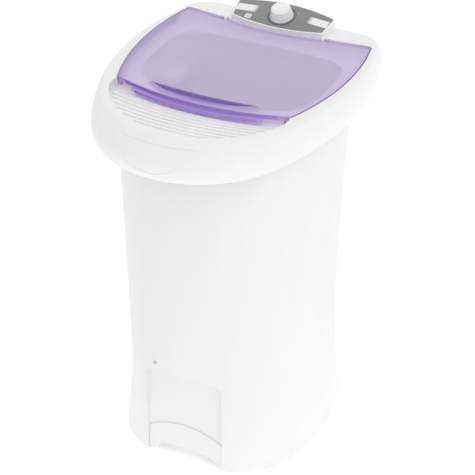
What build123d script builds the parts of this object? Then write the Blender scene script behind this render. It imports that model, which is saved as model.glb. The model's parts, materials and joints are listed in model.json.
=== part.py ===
from build123d import *
from math import asin, atan2, cos, degrees, radians, sin, sqrt
import os

# Semi-automatic washing tub: a waisted moulded cabinet, an overhanging top housing with a scrubbing
# board, a see-through lid hinged at the back, a timer console, and a wash tub with a belt-driven
# agitator. Sizes are in millimetres. The front is -Y, up is +Z, the floor is Z = 0, and the origin
# is under the middle of the whole machine. The deck, the plane that carries the lid, the board and
# the console, slopes down a little to the front.

os.makedirs("parts", exist_ok=True)

# Driving sizes of the whole machine
RIM_WIDTH = 524.0
RIM_DEPTH = 616.0
DECK_HEIGHT = 841.5
DECK_TILT = 2.4
BAND_HEIGHT = 70.5
BASE_WIDTH = 427.0
BASE_FRONT = 194.0
BASE_BACK = 258.0
WALL = 3.0

# Driving sizes of the lid and what lies round it
RIM_BORDER = 30.0
BACK_STRIP = 60.0
LID_LENGTH = 335.0
LID_WELL_DEPTH = 18.0
LID_GAP = 1.5

# Driving sizes of the tub and its drive
TUB_FLOOR = 440.0
TUB_WALL = 2.5
TUB_CENTRE = 60.0
SHAFT_RADIUS = 8.0
MOTOR_DISTANCE = 150.0
BELT_HEIGHT = 300.0
DRIVEN_RADIUS = 90.0
MOTOR_PULLEY_RADIUS = 24.0

# Clearances and the overrun of every cut
RUNNING = 0.05
CLEAR = 0.3
OVERRUN = 5.0

rim_half = RIM_WIDTH / 2
rim_reach = RIM_DEPTH / 2
base_half = BASE_WIDTH / 2


def shifted(plane, x=0.0, y=0.0, z=0.0, tilt=0.0):
    """A plane moved in its own directions, then tipped about its own X."""
    return Plane(plane.location * Location((x, y, z), (tilt, 0, 0)))


def bowed_sketch(plane, half_width, front, back, bows, radii):
    """A closed outline with four bowed sides; bows are front, side and back, radii front and back."""
    front_bow, side_bow, back_bow = bows
    corner_x = half_width - side_bow
    front_y, back_y = front + front_bow, back - back_bow
    middle_y = (front_y + back_y) / 2
    with BuildSketch(plane) as outline:
        with BuildLine():
            ThreePointArc((-corner_x, front_y), (0, front), (corner_x, front_y))
            ThreePointArc((corner_x, front_y), (half_width, middle_y), (corner_x, back_y))
            ThreePointArc((corner_x, back_y), (0, back), (-corner_x, back_y))
            ThreePointArc((-corner_x, back_y), (-half_width, middle_y), (-corner_x, front_y))
        make_face()
        fillet(outline.vertices().sort_by(Axis.Y)[:2], radii[0])
        fillet(outline.vertices().sort_by(Axis.Y)[-2:], radii[1])
    return outline.sketch


def oval_sketch(plane, half_width, front, back, nose_radius, widest, back_bow, corner_radius):
    """A round nose at the front, bowed sides tangent to it, and a bowed back with round corners."""
    drop = widest - front - nose_radius
    side_radius = (half_width**2 + drop**2 - nose_radius**2) / (2 * (half_width - nose_radius))
    reach = nose_radius / (side_radius - nose_radius)
    joint_x = (side_radius - half_width) * reach
    joint_y = front + nose_radius - drop * reach
    end_y = back - back_bow
    end_x = half_width - side_radius + sqrt(side_radius**2 - (end_y - widest) ** 2)
    with BuildSketch(plane) as outline:
        with BuildLine():
            ThreePointArc((-joint_x, joint_y), (0, front), (joint_x, joint_y))
            ThreePointArc((joint_x, joint_y), (half_width, widest), (end_x, end_y))
            ThreePointArc((end_x, end_y), (0, back), (-end_x, end_y))
            ThreePointArc((-end_x, end_y), (-half_width, widest), (-joint_x, joint_y))
        make_face()
        fillet(outline.vertices().sort_by(Axis.Y)[-2:], corner_radius)
    return outline.sketch


# The rim of the top housing is widest part of the way down its band, so the deck's origin moves
# forward by what the tilt carries that widest line back.
WIDEST_DROP = 36.0
deck_lean = radians(DECK_TILT)
deck = Plane(
    origin=(0, -WIDEST_DROP * sin(deck_lean), DECK_HEIGHT),
    x_dir=(1, 0, 0),
    z_dir=(0, -sin(deck_lean), cos(deck_lean)),
)


# Lid outline, in deck directions: bowed front and sides, and a shallow scallop round the console
lid_half = rim_half - RIM_BORDER
LID_FRONT_TAPER = 37.0
LID_BACK_TAPER = 17.0
LID_FRONT_BOW = 38.0
LID_FRONT_CORNER = 12.0
LID_BACK_CORNER = 5.0
SCALLOP_WIDTH = 238.0
SCALLOP_SET = 13.0
SCALLOP_DEPTH = 14.0
LID_WIDEST_SET = 168.0
lid_back = rim_reach - BACK_STRIP
lid_front = lid_back - LID_LENGTH
lid_widest = lid_back - LID_WIDEST_SET
lid_front_half = lid_half - LID_FRONT_TAPER
lid_back_half = lid_half - LID_BACK_TAPER
scallop_half = SCALLOP_WIDTH / 2
scallop_end = lid_back - SCALLOP_SET
scallop_bottom = scallop_end - SCALLOP_DEPTH


# How far each corner moves, for each unit the outline grows, so that all its sides stay parallel
FRONT_CORNER_SHARES = (0.775, -0.765)
BACK_CORNER_SHARES = (0.74, 1.11)
SCALLOP_CORNER_SHARES = (-0.18, 0.985)


def lid_sketch(plane, grow=0.0):
    """The lid's outline, grown by a gap or a wall."""
    front_x = lid_front_half + grow * FRONT_CORNER_SHARES[0]
    front_y = lid_front + grow * FRONT_CORNER_SHARES[1]
    back_x = lid_back_half + grow * BACK_CORNER_SHARES[0]
    back_y = lid_back + grow * BACK_CORNER_SHARES[1]
    notch_x = scallop_half + grow * SCALLOP_CORNER_SHARES[0]
    notch_y = scallop_end + grow * SCALLOP_CORNER_SHARES[1]
    front_middle = lid_front - LID_FRONT_BOW - grow
    side_x = lid_half + grow
    with BuildSketch(plane) as outline:
        with BuildLine():
            ThreePointArc((-front_x, front_y), (0, front_middle), (front_x, front_y))
            ThreePointArc((front_x, front_y), (side_x, lid_widest), (back_x, back_y))
            Line((back_x, back_y), (notch_x, notch_y))
            ThreePointArc((notch_x, notch_y), (0, scallop_bottom + grow), (-notch_x, notch_y))
            Line((-notch_x, notch_y), (-back_x, back_y))
            ThreePointArc((-back_x, back_y), (-side_x, lid_widest), (-front_x, front_y))
        make_face()
        front_corners = outline.vertices().filter_by_position(Axis.Y, front_y - CLEAR, front_y + CLEAR)
        fillet(front_corners, LID_FRONT_CORNER + grow)
        back_corners = outline.vertices().filter_by_position(Axis.Y, back_y - CLEAR, back_y + CLEAR)
        fillet(back_corners, LID_BACK_CORNER + grow)
    return outline.sketch


# Hinge line: the lid's knuckles turn beside two lugs that stand in the lid well
HINGE_SET = 17.0
HINGE_RISE = 2.5
KNUCKLE_RADIUS = 4.5
KNUCKLE_WIDTH = 10.0
PIN_RADIUS = 2.5
LUG_RADIUS = 5.5
LUG_WIDTH = 6.0
hinge_y = lid_back - HINGE_SET
lug_outer = scallop_half - LID_GAP
hinge_point = deck.from_local_coords((0, hinge_y, HINGE_RISE))


def hinge_plane(x):
    """A plane across the hinge line at x; its local X runs along the deck and its Y up from it."""
    return Plane(origin=(x, hinge_point.Y, hinge_point.Z), x_dir=deck.y_dir, z_dir=(1, 0, 0))


# Cabinet: one moulding with a waist and a flared foot, pillars at the front, open on top
SECTION_HEIGHT_SHARES = (0.0, 0.14, 0.29, 0.465, 0.65, 0.834, 1.0)
SECTION_WIDTH_SHARES = (1.0, 0.928, 0.898, 0.909, 0.935, 0.972, 1.008)
SECTION_FRONT_SHARES = (1.0, 1.029, 1.048, 1.059, 1.058, 1.049, 1.041)
SECTION_BACK_SHARES = (1.0, 1.011, 1.025, 1.039, 1.056, 1.076, 1.093)
CABINET_BOWS = (45.0, 34.5, 8.0)
CABINET_RADII = (151.0, 97.0)
LIP_DROP = 31.0
LIP_REACH = 20.0
LIP_BOWS = (22.0, 14.0, 8.0)
LIP_RADII = (165.0, 98.0)
FOOT_WIDTH = 14.0
top_share = 1.005
cabinet_top_half = base_half * top_share
cabinet_top_front = -BASE_FRONT * SECTION_FRONT_SHARES[-1]
cabinet_top_back = BASE_BACK * SECTION_BACK_SHARES[-1]


def grown(sizes, amount):
    """Radii or bows changed together, so that parallel outlines keep a steady wall."""
    return tuple(size + amount for size in sizes)


def cabinet_sections(shrink):
    """The cabinet's outlines from the floor up, moved inwards by shrink."""
    shares = zip(SECTION_HEIGHT_SHARES, SECTION_WIDTH_SHARES, SECTION_FRONT_SHARES, SECTION_BACK_SHARES)
    return [
        bowed_sketch(
            Plane.XY.offset(DECK_HEIGHT * height),
            base_half * width - shrink,
            -BASE_FRONT * front + shrink,
            BASE_BACK * back - shrink,
            CABINET_BOWS,
            grown(CABINET_RADII, -shrink),
        )
        for height, width, front, back in shares
    ]


def lip_sketch(plane):
    """The outline of the lip round the cabinet's top."""
    return bowed_sketch(
        plane,
        cabinet_top_half + LIP_REACH,
        cabinet_top_front - LIP_REACH,
        cabinet_top_back + LIP_REACH,
        LIP_BOWS,
        LIP_RADII,
    )


# The sunken front panel between the pillars: half width and top at its floor, and how far the
# flanks and the top slope out to the cabinet's face
PANEL_FACE = 176.0
PANEL_HALF = 89.0
PANEL_TOP = 221.0
PANEL_DRAFT = 16.0
PANEL_ROUND = 22.0
panel_depth = BASE_FRONT - PANEL_FACE + 2 * PANEL_DRAFT


def front_panel_block(grow):
    """The tapered block that sinks the front panel, grown all round by a wall."""
    front_plane = Plane(origin=(0, -PANEL_FACE, 0), x_dir=(1, 0, 0), z_dir=(0, -1, 0))
    with BuildPart() as block:
        for depth, flare in ((-grow, 0.0), (panel_depth, PANEL_DRAFT)):
            half = PANEL_HALF + grow + flare
            top = PANEL_TOP + grow + flare
            with BuildSketch(front_plane.offset(depth)) as outline:
                with Locations((0, (top - OVERRUN) / 2)):
                    Rectangle(2 * half, top + OVERRUN)
                fillet(outline.vertices().sort_by(Axis.Y)[-2:], PANEL_ROUND + grow)
        loft()
    return block.part


# Boss behind the small front screw, for the capacitor's clip, and the wall's place in front of it
CLIP_SCREW_X = -60.0
CLIP_SCREW_Z = 246.0
CLIP_BOSS_RADIUS = 8.0
CLIP_BOSS_FACE = 186.0
SCREW_SEAT = 1.0
clip_plane = Plane(origin=(CLIP_SCREW_X, -CLIP_BOSS_FACE, CLIP_SCREW_Z), x_dir=(1, 0, 0), z_dir=(0, -1, 0))
clip_level_half = base_half * SECTION_WIDTH_SHARES[2] - CABINET_BOWS[1]
clip_level_radius = (clip_level_half**2 + CABINET_BOWS[0] ** 2) / (2 * CABINET_BOWS[0])
clip_level_sag = clip_level_radius - sqrt(clip_level_radius**2 - CLIP_SCREW_X**2)
screw_seat_y = -BASE_FRONT * SECTION_FRONT_SHARES[2] + clip_level_sag + SCREW_SEAT

with BuildPart() as cabinet_hollow:
    loft(cabinet_sections(WALL))
    add(front_panel_block(WALL), mode=Mode.SUBTRACT)
    with BuildSketch(clip_plane):
        Circle(CLIP_BOSS_RADIUS)
    extrude(amount=panel_depth, mode=Mode.SUBTRACT)
    # the foot's flange stays solid
    with BuildSketch(Plane.XY) as foot_zone:
        Rectangle(RIM_WIDTH, RIM_DEPTH)
    extrude(amount=WALL, mode=Mode.SUBTRACT)

APRON_RISE = 3.0
APRON_SIDE = 62.0
APRON_TOP = 86.0
ARCH_HALF = 78.0
ARCH_TOP_HALF = 60.0
ARCH_HEIGHT = 25.0
ARCH_ROUND = 14.0
BOSS_RADIUS = 8.0
COVER_HEIGHT = 30.0
COVER_THICK = 3.0
COVER_SCREW_LENGTH = 16.0
COVER_POST_ROWS = (-35.0, 130.0)
POST_OVERLAP = 3.5
SCREW_RADIUS = 2.0
SCREW_HEAD_RADIUS = 4.0
SCREW_HEAD_THICK = 2.5
HOUSING_BOSS_RADIUS = 6.0
FRONT_PAIR = 90.0
BACK_PAIR = 148.0
SIDE_PAIR_FRONT = -45.0
SIDE_PAIR_BACK = 107.0
PAIR_SAG = 4.5
lip_middle = LIP_REACH / 2
housing_screw_places = [
    (side * x, y)
    for side in (-1, 1)
    for x, y in (
        (FRONT_PAIR, cabinet_top_front - lip_middle + PAIR_SAG),
        (cabinet_top_half + lip_middle - PAIR_SAG / 2, SIDE_PAIR_FRONT),
        (cabinet_top_half + lip_middle - PAIR_SAG / 2, SIDE_PAIR_BACK),
        (BACK_PAIR, cabinet_top_back + lip_middle - PAIR_SAG),
    )
]
cover_post_x = base_half - WALL - FOOT_WIDTH - BOSS_RADIUS + POST_OVERLAP
cover_post_places = [(side * cover_post_x, y) for side in (-1, 1) for y in COVER_POST_ROWS]
OUTLET_X = -100.0
OUTLET_Z = 72.0
OUTLET_RADIUS = 12.0
GLAND_X = 100.0
GLAND_RADIUS = 8.0
GLAND_Z = 72.0
BACK_PAD_RADIUS = 21.0
BACK_PAD_THICK = 7.0
back_face = BASE_BACK * SECTION_BACK_SHARES[0] - CABINET_BOWS[2] / 8

with BuildPart() as cabinet:
    loft(cabinet_sections(0.0))
    add(front_panel_block(0.0), mode=Mode.SUBTRACT)
    # the lower apron of the front panel stands forward, under an arched ledge
    with BuildSketch(Plane.XZ.offset(PANEL_FACE - WALL / 2)):
        with BuildLine():
            Polyline((-PANEL_HALF, APRON_SIDE), (-PANEL_HALF, 0), (PANEL_HALF, 0), (PANEL_HALF, APRON_SIDE))
            ThreePointArc((PANEL_HALF, APRON_SIDE), (0, APRON_TOP), (-PANEL_HALF, APRON_SIDE))
        make_face()
    extrude(amount=WALL / 2 + APRON_RISE)
    split(bisect_by=deck.offset(-LIP_DROP), keep=Keep.BOTTOM)
    # the lip that the tub flange and the top housing stand on
    extrude(lip_sketch(deck.offset(-LIP_DROP - WALL)), amount=WALL)
    add(cabinet_hollow.part, mode=Mode.SUBTRACT)
    # open foot, leaving a flange to stand on
    foot_opening = bowed_sketch(
        Plane.XY.offset(-OVERRUN),
        base_half - WALL - FOOT_WIDTH,
        -PANEL_FACE + WALL + FOOT_WIDTH,
        BASE_BACK - WALL - FOOT_WIDTH,
        CABINET_BOWS,
        grown(CABINET_RADII, -WALL - FOOT_WIDTH),
    )
    extrude(foot_opening, amount=WALL + 2 * OVERRUN, mode=Mode.SUBTRACT)
    # posts on the foot's flange that hold the base cover
    with BuildSketch(Plane.XY):
        with Locations(*cover_post_places):
            Circle(BOSS_RADIUS)
    extrude(amount=COVER_HEIGHT)
    with BuildSketch(Plane.XY.offset(COVER_HEIGHT - COVER_SCREW_LENGTH)):
        with Locations(*cover_post_places):
            Circle(SCREW_RADIUS + RUNNING)
    extrude(amount=COVER_SCREW_LENGTH, mode=Mode.SUBTRACT)
    # hole and spot face of the small front screw
    with BuildSketch(clip_plane.offset(-OVERRUN)):
        Circle(SCREW_RADIUS + RUNNING)
    extrude(amount=panel_depth + OVERRUN, mode=Mode.SUBTRACT)
    with BuildSketch(clip_plane.offset(-screw_seat_y - CLIP_BOSS_FACE)):
        Circle(SCREW_HEAD_RADIUS + CLEAR)
    extrude(amount=OVERRUN, mode=Mode.SUBTRACT)
    # arch cut-out at the foot of the front panel
    with BuildSketch(Plane.XZ.offset(PANEL_FACE - panel_depth)) as arch:
        Polygon(
            (-ARCH_HALF, -OVERRUN),
            (ARCH_HALF, -OVERRUN),
            (ARCH_HALF, 0),
            (ARCH_TOP_HALF, ARCH_HEIGHT),
            (-ARCH_TOP_HALF, ARCH_HEIGHT),
            (-ARCH_HALF, 0),
            align=None,
        )
        fillet(arch.vertices().sort_by(Axis.Y)[-2:], ARCH_ROUND)
    extrude(amount=2 * panel_depth, mode=Mode.SUBTRACT)
    # flat pads on the back wall, and the holes in them for the drain outlet and the cord gland
    with BuildSketch(Plane.XZ.offset(-back_face)):
        with Locations((OUTLET_X, OUTLET_Z), (GLAND_X, GLAND_Z)):
            Circle(BACK_PAD_RADIUS)
    extrude(amount=BACK_PAD_THICK)
    with BuildSketch(Plane.XZ.offset(-back_face)):
        with Locations((OUTLET_X, OUTLET_Z), (GLAND_X, GLAND_Z)):
            Circle(BACK_PAD_RADIUS)
    extrude(amount=-OVERRUN, mode=Mode.SUBTRACT)
    for x, z, radius in ((OUTLET_X, OUTLET_Z, OUTLET_RADIUS), (GLAND_X, GLAND_Z, GLAND_RADIUS)):
        with BuildSketch(Plane.XZ.offset(-back_face + 2 * OVERRUN)):
            with Locations((x, z)):
                Circle(radius + RUNNING)
        extrude(amount=-4 * OVERRUN, mode=Mode.SUBTRACT)
    # screw holes through the lip
    with BuildSketch(deck.offset(-LIP_DROP - 2 * WALL)):
        with Locations(*housing_screw_places):
            Circle(SCREW_RADIUS + CLEAR)
    extrude(amount=3 * WALL, mode=Mode.SUBTRACT)

cabinet.part.label = "cabinet"
export_step(cabinet.part, "parts/cabinet.step")

# Base cover: a slotted plate that closes the underside, screwed up against the cabinet's bosses
SLOT_LENGTH = 110.0
SLOT_WIDTH = 6.0
SLOT_PITCH = 16.0
SLOT_COUNT = 8
SLOT_SPREAD = 150.0
COVER_CENTRE = 40.0
COVER_GAP = 6.0
COVER_SIDE_GAP = 7.5

base_cover_outline = bowed_sketch(
    Plane.XY.offset(COVER_HEIGHT),
    base_half - WALL - COVER_SIDE_GAP,
    -PANEL_FACE + WALL + COVER_GAP,
    BASE_BACK - WALL - COVER_GAP,
    CABINET_BOWS,
    grown(CABINET_RADII, -WALL - COVER_GAP),
)

with BuildPart() as base_cover:
    extrude(base_cover_outline, amount=COVER_THICK)
    with BuildSketch(Plane.XY.offset(COVER_HEIGHT)):
        with Locations((0, COVER_CENTRE)):
            with GridLocations(SLOT_SPREAD, SLOT_PITCH, 2, SLOT_COUNT):
                SlotOverall(SLOT_LENGTH, SLOT_WIDTH)
        with Locations(*cover_post_places):
            Circle(SCREW_RADIUS + CLEAR)
    extrude(amount=COVER_THICK, mode=Mode.SUBTRACT)

base_cover.part.label = "base_cover"
export_step(base_cover.part, "parts/base_cover.step")


def screw(plane, length, radius=SCREW_RADIUS, head_radius=SCREW_HEAD_RADIUS, head=SCREW_HEAD_THICK):
    """A pan-head screw: its shank runs up the plane's normal, its domed head lies below the plane."""
    slot_width = head / 4
    with BuildPart() as one:
        with BuildSketch(plane):
            Circle(radius)
        extrude(amount=length)
        with BuildSketch(plane):
            Circle(head_radius)
        extrude(amount=-head)
        crown = one.faces().sort_by(Axis(plane.origin, plane.z_dir))[0]
        fillet(crown.edges(), head / 3)
        with BuildSketch(plane.offset(-head)):
            Rectangle(2 * head_radius, slot_width)
        extrude(amount=slot_width, mode=Mode.SUBTRACT)
    return one.part


def screws(planes, length):
    """One group of like screws."""
    return Compound(children=[screw(plane, length) for plane in planes])


def revolved(plane, profile):
    """A turned piece: the profile's points are radius and height on the plane's axis."""
    side = Plane(origin=plane.origin, x_dir=plane.x_dir, z_dir=-plane.y_dir)
    with BuildPart() as turned:
        with BuildSketch(side):
            with BuildLine():
                Polyline(*profile, close=True)
            make_face()
        revolve(axis=Axis(plane.origin, plane.z_dir))
    return turned.part


# Top housing: the overhanging band, the deck with its lid well and scrubbing board, and the console
RIM_NOSE = 225.0
RIM_WIDEST = 80.0
RIM_BACK_BOW = 8.0
RIM_CORNER = 65.0
BAND_SIDE_INSET = 6.5
BAND_FRONT_INSET = 5.0
BAND_BACK_INSET = 5.0
DECK_NOSE = 242.0
DECK_FRONT = 258.0
DECK_SIDE_INSET = 6.0
DECK_BACK_INSET = 3.0
TOP_ROUND = 8.0
TOP_LEVELS = ((4.2, 0.9), (1.9, 2.4), (0.5, 5.0), (0.0, 8.0))
HOLLOW_LEVELS = ((WALL, 5.0),)
FRONT_INSET_SHARE = 1.6
BOARD_FRONT = 244.0
BOARD_BACK = 86.0
BOARD_HALF = 196.0
BOARD_SAG = 126.0
BOARD_DEPTH = 3.0
BOARD_TILT = 6.4
BOARD_CORNER = 10.0
BOARD_REACH = 25.0
RIB_COUNT = 7
RIB_PITCH = 14.0
RIB_WIDTH = 7.0
RIB_HEIGHT = 3.0
RIB_ROUND = 1.2
RIB_MARGIN = 10.0
RIB_START = 18.0
MOUTH_HALF = 203.0
MOUTH_FRONT = -82.0
MOUTH_BACK = 200.0
MOUTH_BOWS = (50.0, 13.0, 10.0)
MOUTH_RADII = (90.0, 50.0)
DRIP_LIP_SET = 3.0
DRIP_LIP_WALL = 2.5
DRIP_LIP_DROP = 12.0
PANEL_SET = 265.5
PANEL_RISE = 17.1
CONSOLE_TILT = 14.4
PLATE_FRONT_HALF = 104.0
PLATE_FRONT_END = -23.0
PLATE_FRONT = -36.0
PLATE_BACK_HALF = 110.0
PLATE_BACK_END = 22.0
PLATE_BACK = 39.0
PLATE_CORNER = 2.5
PLATE_BORDER = 3.0
PLATE_THICK = 1.0
PLATE_PROUD = 0.3
CONSOLE_FRONT_HALF = 112.0
CONSOLE_FRONT_END = 239.0
CONSOLE_FRONT = 226.0
CONSOLE_BACK_HALF = 121.0
CONSOLE_BACK_END = 289.0
CONSOLE_BACK = 305.0
CONSOLE_CORNER = 9.0
CONSOLE_ROOT = 10.0
CONSOLE_ROUND = 2.5
TIMER_SHAFT_RADIUS = 3.0
TIMER_BOSS_REACH = 26.0
TIMER_BOSS_RADIUS = 4.0
TIMER_BOSS_DEPTH = 8.0
RECESS_DEPTH = 1.0
RECESS_HALF = 84.0
RECESS_TOP = 10.0
RECESS_DROP = 56.0
BOSS_HOLE_DEPTH = 6.0

board_plane = shifted(deck, y=-BOARD_FRONT, z=-BOARD_DEPTH, tilt=-BOARD_TILT)
panel_plane = shifted(deck, y=PANEL_SET, z=PANEL_RISE, tilt=CONSOLE_TILT)
lid_arc_radius = (lid_front_half**2 + LID_FRONT_BOW**2) / (2 * LID_FRONT_BOW)
lid_arc_centre = lid_front - LID_FRONT_BOW + lid_arc_radius
board_arc_radius = (BOARD_HALF**2 + BOARD_SAG**2) / (2 * BOARD_SAG)
rib_centre = (lid_arc_centre + BOARD_FRONT) / cos(radians(BOARD_TILT))


def rim_foot(inset):
    """The outline at the foot of the housing's band."""
    return oval_sketch(
        deck.offset(-BAND_HEIGHT),
        rim_half - BAND_SIDE_INSET - inset,
        -rim_reach + BAND_FRONT_INSET + inset,
        rim_reach - BAND_BACK_INSET - inset,
        RIM_NOSE - inset,
        RIM_WIDEST,
        RIM_BACK_BOW,
        RIM_CORNER - inset,
    )


def rim_level(drop, inset):
    """An outline between the housing's widest line and the crease at the edge of its deck."""
    share = drop / WIDEST_DROP
    return oval_sketch(
        deck.offset(-drop),
        rim_half - DECK_SIDE_INSET * (1 - share) - inset,
        -DECK_FRONT - (rim_reach - DECK_FRONT) * share + inset * FRONT_INSET_SHARE,
        rim_reach - DECK_BACK_INSET * (1 - share) - inset,
        DECK_NOSE - (DECK_NOSE - RIM_NOSE) * share - inset,
        RIM_WIDEST,
        RIM_BACK_BOW,
        RIM_CORNER - inset,
    )


def rim_block(inset, top_levels):
    """The whole housing as a solid block: its band, and its top edge through the levels given."""
    shoulder = rim_level(TOP_ROUND, inset)
    with BuildPart() as block:
        loft([rim_foot(inset), rim_level(WIDEST_DROP, inset), shoulder])
        loft([shoulder] + [rim_level(drop, inset + set_in) for drop, set_in in top_levels], ruled=True)
    return block.part


def top_face(piece, plane):
    """The face of a piece that lies furthest along a plane's normal."""
    return piece.faces().sort_by(Axis(plane.origin, plane.z_dir))[-1]


def crescent_sketch(plane, front, back, corner, grow=0.0):
    """A four-sided outline with a bowed front and back; each side is half width, end and middle."""
    front_half, front_end, front_middle = front
    back_half, back_end, back_middle = back
    with BuildSketch(plane) as outline:
        with BuildLine():
            ThreePointArc((-front_half, front_end), (0, front_middle), (front_half, front_end))
            Line((front_half, front_end), (back_half, back_end))
            ThreePointArc((back_half, back_end), (0, back_middle), (-back_half, back_end))
            Line((-back_half, back_end), (-front_half, front_end))
        make_face()
        if grow:
            offset(amount=grow, kind=Kind.INTERSECTION)
        fillet(outline.vertices(), corner)
    return outline.sketch


def console_sketches(inset, root):
    """The console's outline on the deck and at its sloping face."""
    return [
        crescent_sketch(
            deck.offset(-root),
            (CONSOLE_FRONT_HALF, CONSOLE_FRONT_END, CONSOLE_FRONT),
            (CONSOLE_BACK_HALF, CONSOLE_BACK_END, CONSOLE_BACK),
            CONSOLE_CORNER - inset,
            -inset,
        ),
        plate_sketch(panel_plane.offset(-inset), CONSOLE_CORNER - inset, PLATE_BORDER - inset),
    ]


def plate_sketch(plane, corner, grow=0.0):
    """The control plate's outline, grown by a border or a gap."""
    return crescent_sketch(
        plane,
        (PLATE_FRONT_HALF, PLATE_FRONT_END, PLATE_FRONT),
        (PLATE_BACK_HALF, PLATE_BACK_END, PLATE_BACK),
        corner,
        grow,
    )


def board_block(grow):
    """The hollow over the scrubbing board, grown by a wall, down to the lid well's floor."""
    half = BOARD_HALF + grow
    back = (BOARD_FRONT - BOARD_BACK) / cos(radians(BOARD_TILT)) + grow
    with BuildSketch(board_plane.offset(-grow)) as outline:
        with BuildLine():
            ThreePointArc((-half, BOARD_SAG), (0, -grow), (half, BOARD_SAG))
            Polyline((half, BOARD_SAG), (half, back), (-half, back), (-half, BOARD_SAG))
        make_face()
        fillet(outline.vertices().sort_by(Axis.Y)[-2:], BOARD_CORNER + grow)
    with BuildPart() as block:
        extrude(outline.sketch, amount=BOARD_REACH)
        split(bisect_by=deck.offset(-LID_WELL_DEPTH - grow), keep=Keep.TOP)
    return block.part


def curved_bar(plane, centre_y, radius, width, half):
    """A bar bent round a centre behind it; radius is its front edge's."""
    with BuildSketch(plane) as bar:
        with BuildLine():
            for edge in (radius, radius - width):
                end = centre_y - sqrt(edge**2 - half**2)
                ThreePointArc((-half, end), (0, centre_y - edge), (half, end))
            for side in (-half, half):
                front_end = centre_y - sqrt(radius**2 - half**2)
                back_end = centre_y - sqrt((radius - width) ** 2 - half**2)
                Line((side, front_end), (side, back_end))
        make_face()
    return bar.sketch


def mouth_sketch(plane, shrink):
    """The tub's mouth, moved inwards by shrink."""
    return bowed_sketch(
        plane,
        MOUTH_HALF - shrink,
        MOUTH_FRONT + shrink,
        MOUTH_BACK - shrink,
        MOUTH_BOWS,
        grown(MOUTH_RADII, -shrink),
    )


# Each rib runs parallel to the lid's front edge and ends a margin inside the board's outline
board_ribs = []
for k in range(RIB_COUNT):
    rib_radius = lid_arc_radius + RIB_START + RIB_PITCH * k
    inner_arc = board_arc_radius - RIB_MARGIN
    meeting = (rib_centre**2 - board_arc_radius**2 - rib_radius**2 + inner_arc**2) / (
        2 * (rib_centre - board_arc_radius)
    )
    rib_half = sqrt(inner_arc**2 - (meeting - board_arc_radius) ** 2)
    rib_outline = curved_bar(board_plane, rib_centre, rib_radius + RIB_WIDTH / 2, RIB_WIDTH, rib_half)
    with BuildPart() as rib:
        extrude(rib_outline, amount=RIB_HEIGHT)
        fillet(rib.edges().filter_by(Axis(board_plane.origin, board_plane.z_dir)), RIB_WIDTH / 3)
        fillet(top_face(rib, board_plane).edges(), RIB_ROUND)
    board_ribs.append(rib.part)

outer_block = rim_block(0.0, TOP_LEVELS)
recess_block = rim_block(RECESS_DEPTH, TOP_LEVELS)
hollow_block = rim_block(WALL, HOLLOW_LEVELS)

with BuildPart() as housing_hollow:
    add(hollow_block)
    loft(console_sketches(WALL, CONSOLE_ROOT))
    extrude(
        lid_sketch(deck.offset(-LID_WELL_DEPTH - WALL), LID_GAP + WALL),
        amount=LID_WELL_DEPTH + WALL,
        mode=Mode.SUBTRACT,
    )
    add(board_block(WALL), mode=Mode.SUBTRACT)

# the bare half-moon recess in the front of the band
with BuildPart() as front_recess:
    with BuildSketch(shifted(deck, y=-DECK_FRONT, tilt=90)):
        with BuildLine():
            Line((-RECESS_HALF, -RECESS_TOP), (RECESS_HALF, -RECESS_TOP))
            ThreePointArc((RECESS_HALF, -RECESS_TOP), (0, -RECESS_DROP), (-RECESS_HALF, -RECESS_TOP))
        make_face()
    extrude(amount=BAND_HEIGHT)
    add(recess_block, mode=Mode.SUBTRACT)

lug_profiles = []
for x in (-lug_outer, lug_outer - LUG_WIDTH):
    with BuildPart() as lug:
        with BuildSketch(hinge_plane(x)):
            Circle(LUG_RADIUS)
            with Locations((0, -(LID_WELL_DEPTH + HINGE_RISE) / 2)):
                Rectangle(2 * LUG_RADIUS, LID_WELL_DEPTH + HINGE_RISE)
            Circle(PIN_RADIUS + RUNNING, mode=Mode.SUBTRACT)
        extrude(amount=LUG_WIDTH)
    lug_profiles.append(lug.part)

well_cut = lid_sketch(deck.offset(-LID_WELL_DEPTH), LID_GAP)
drip_lip = mouth_sketch(deck.offset(-LID_WELL_DEPTH - WALL), DRIP_LIP_SET)
mouth_cut = mouth_sketch(deck.offset(-LID_WELL_DEPTH - BAND_HEIGHT), DRIP_LIP_SET + DRIP_LIP_WALL)
plate_seat = plate_sketch(panel_plane.offset(PLATE_PROUD - PLATE_THICK), PLATE_CORNER, CLEAR)
timer_planes = [
    shifted(panel_plane, x=side * TIMER_BOSS_REACH, z=-WALL - TIMER_BOSS_DEPTH) for side in (-1, 1)
]

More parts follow.
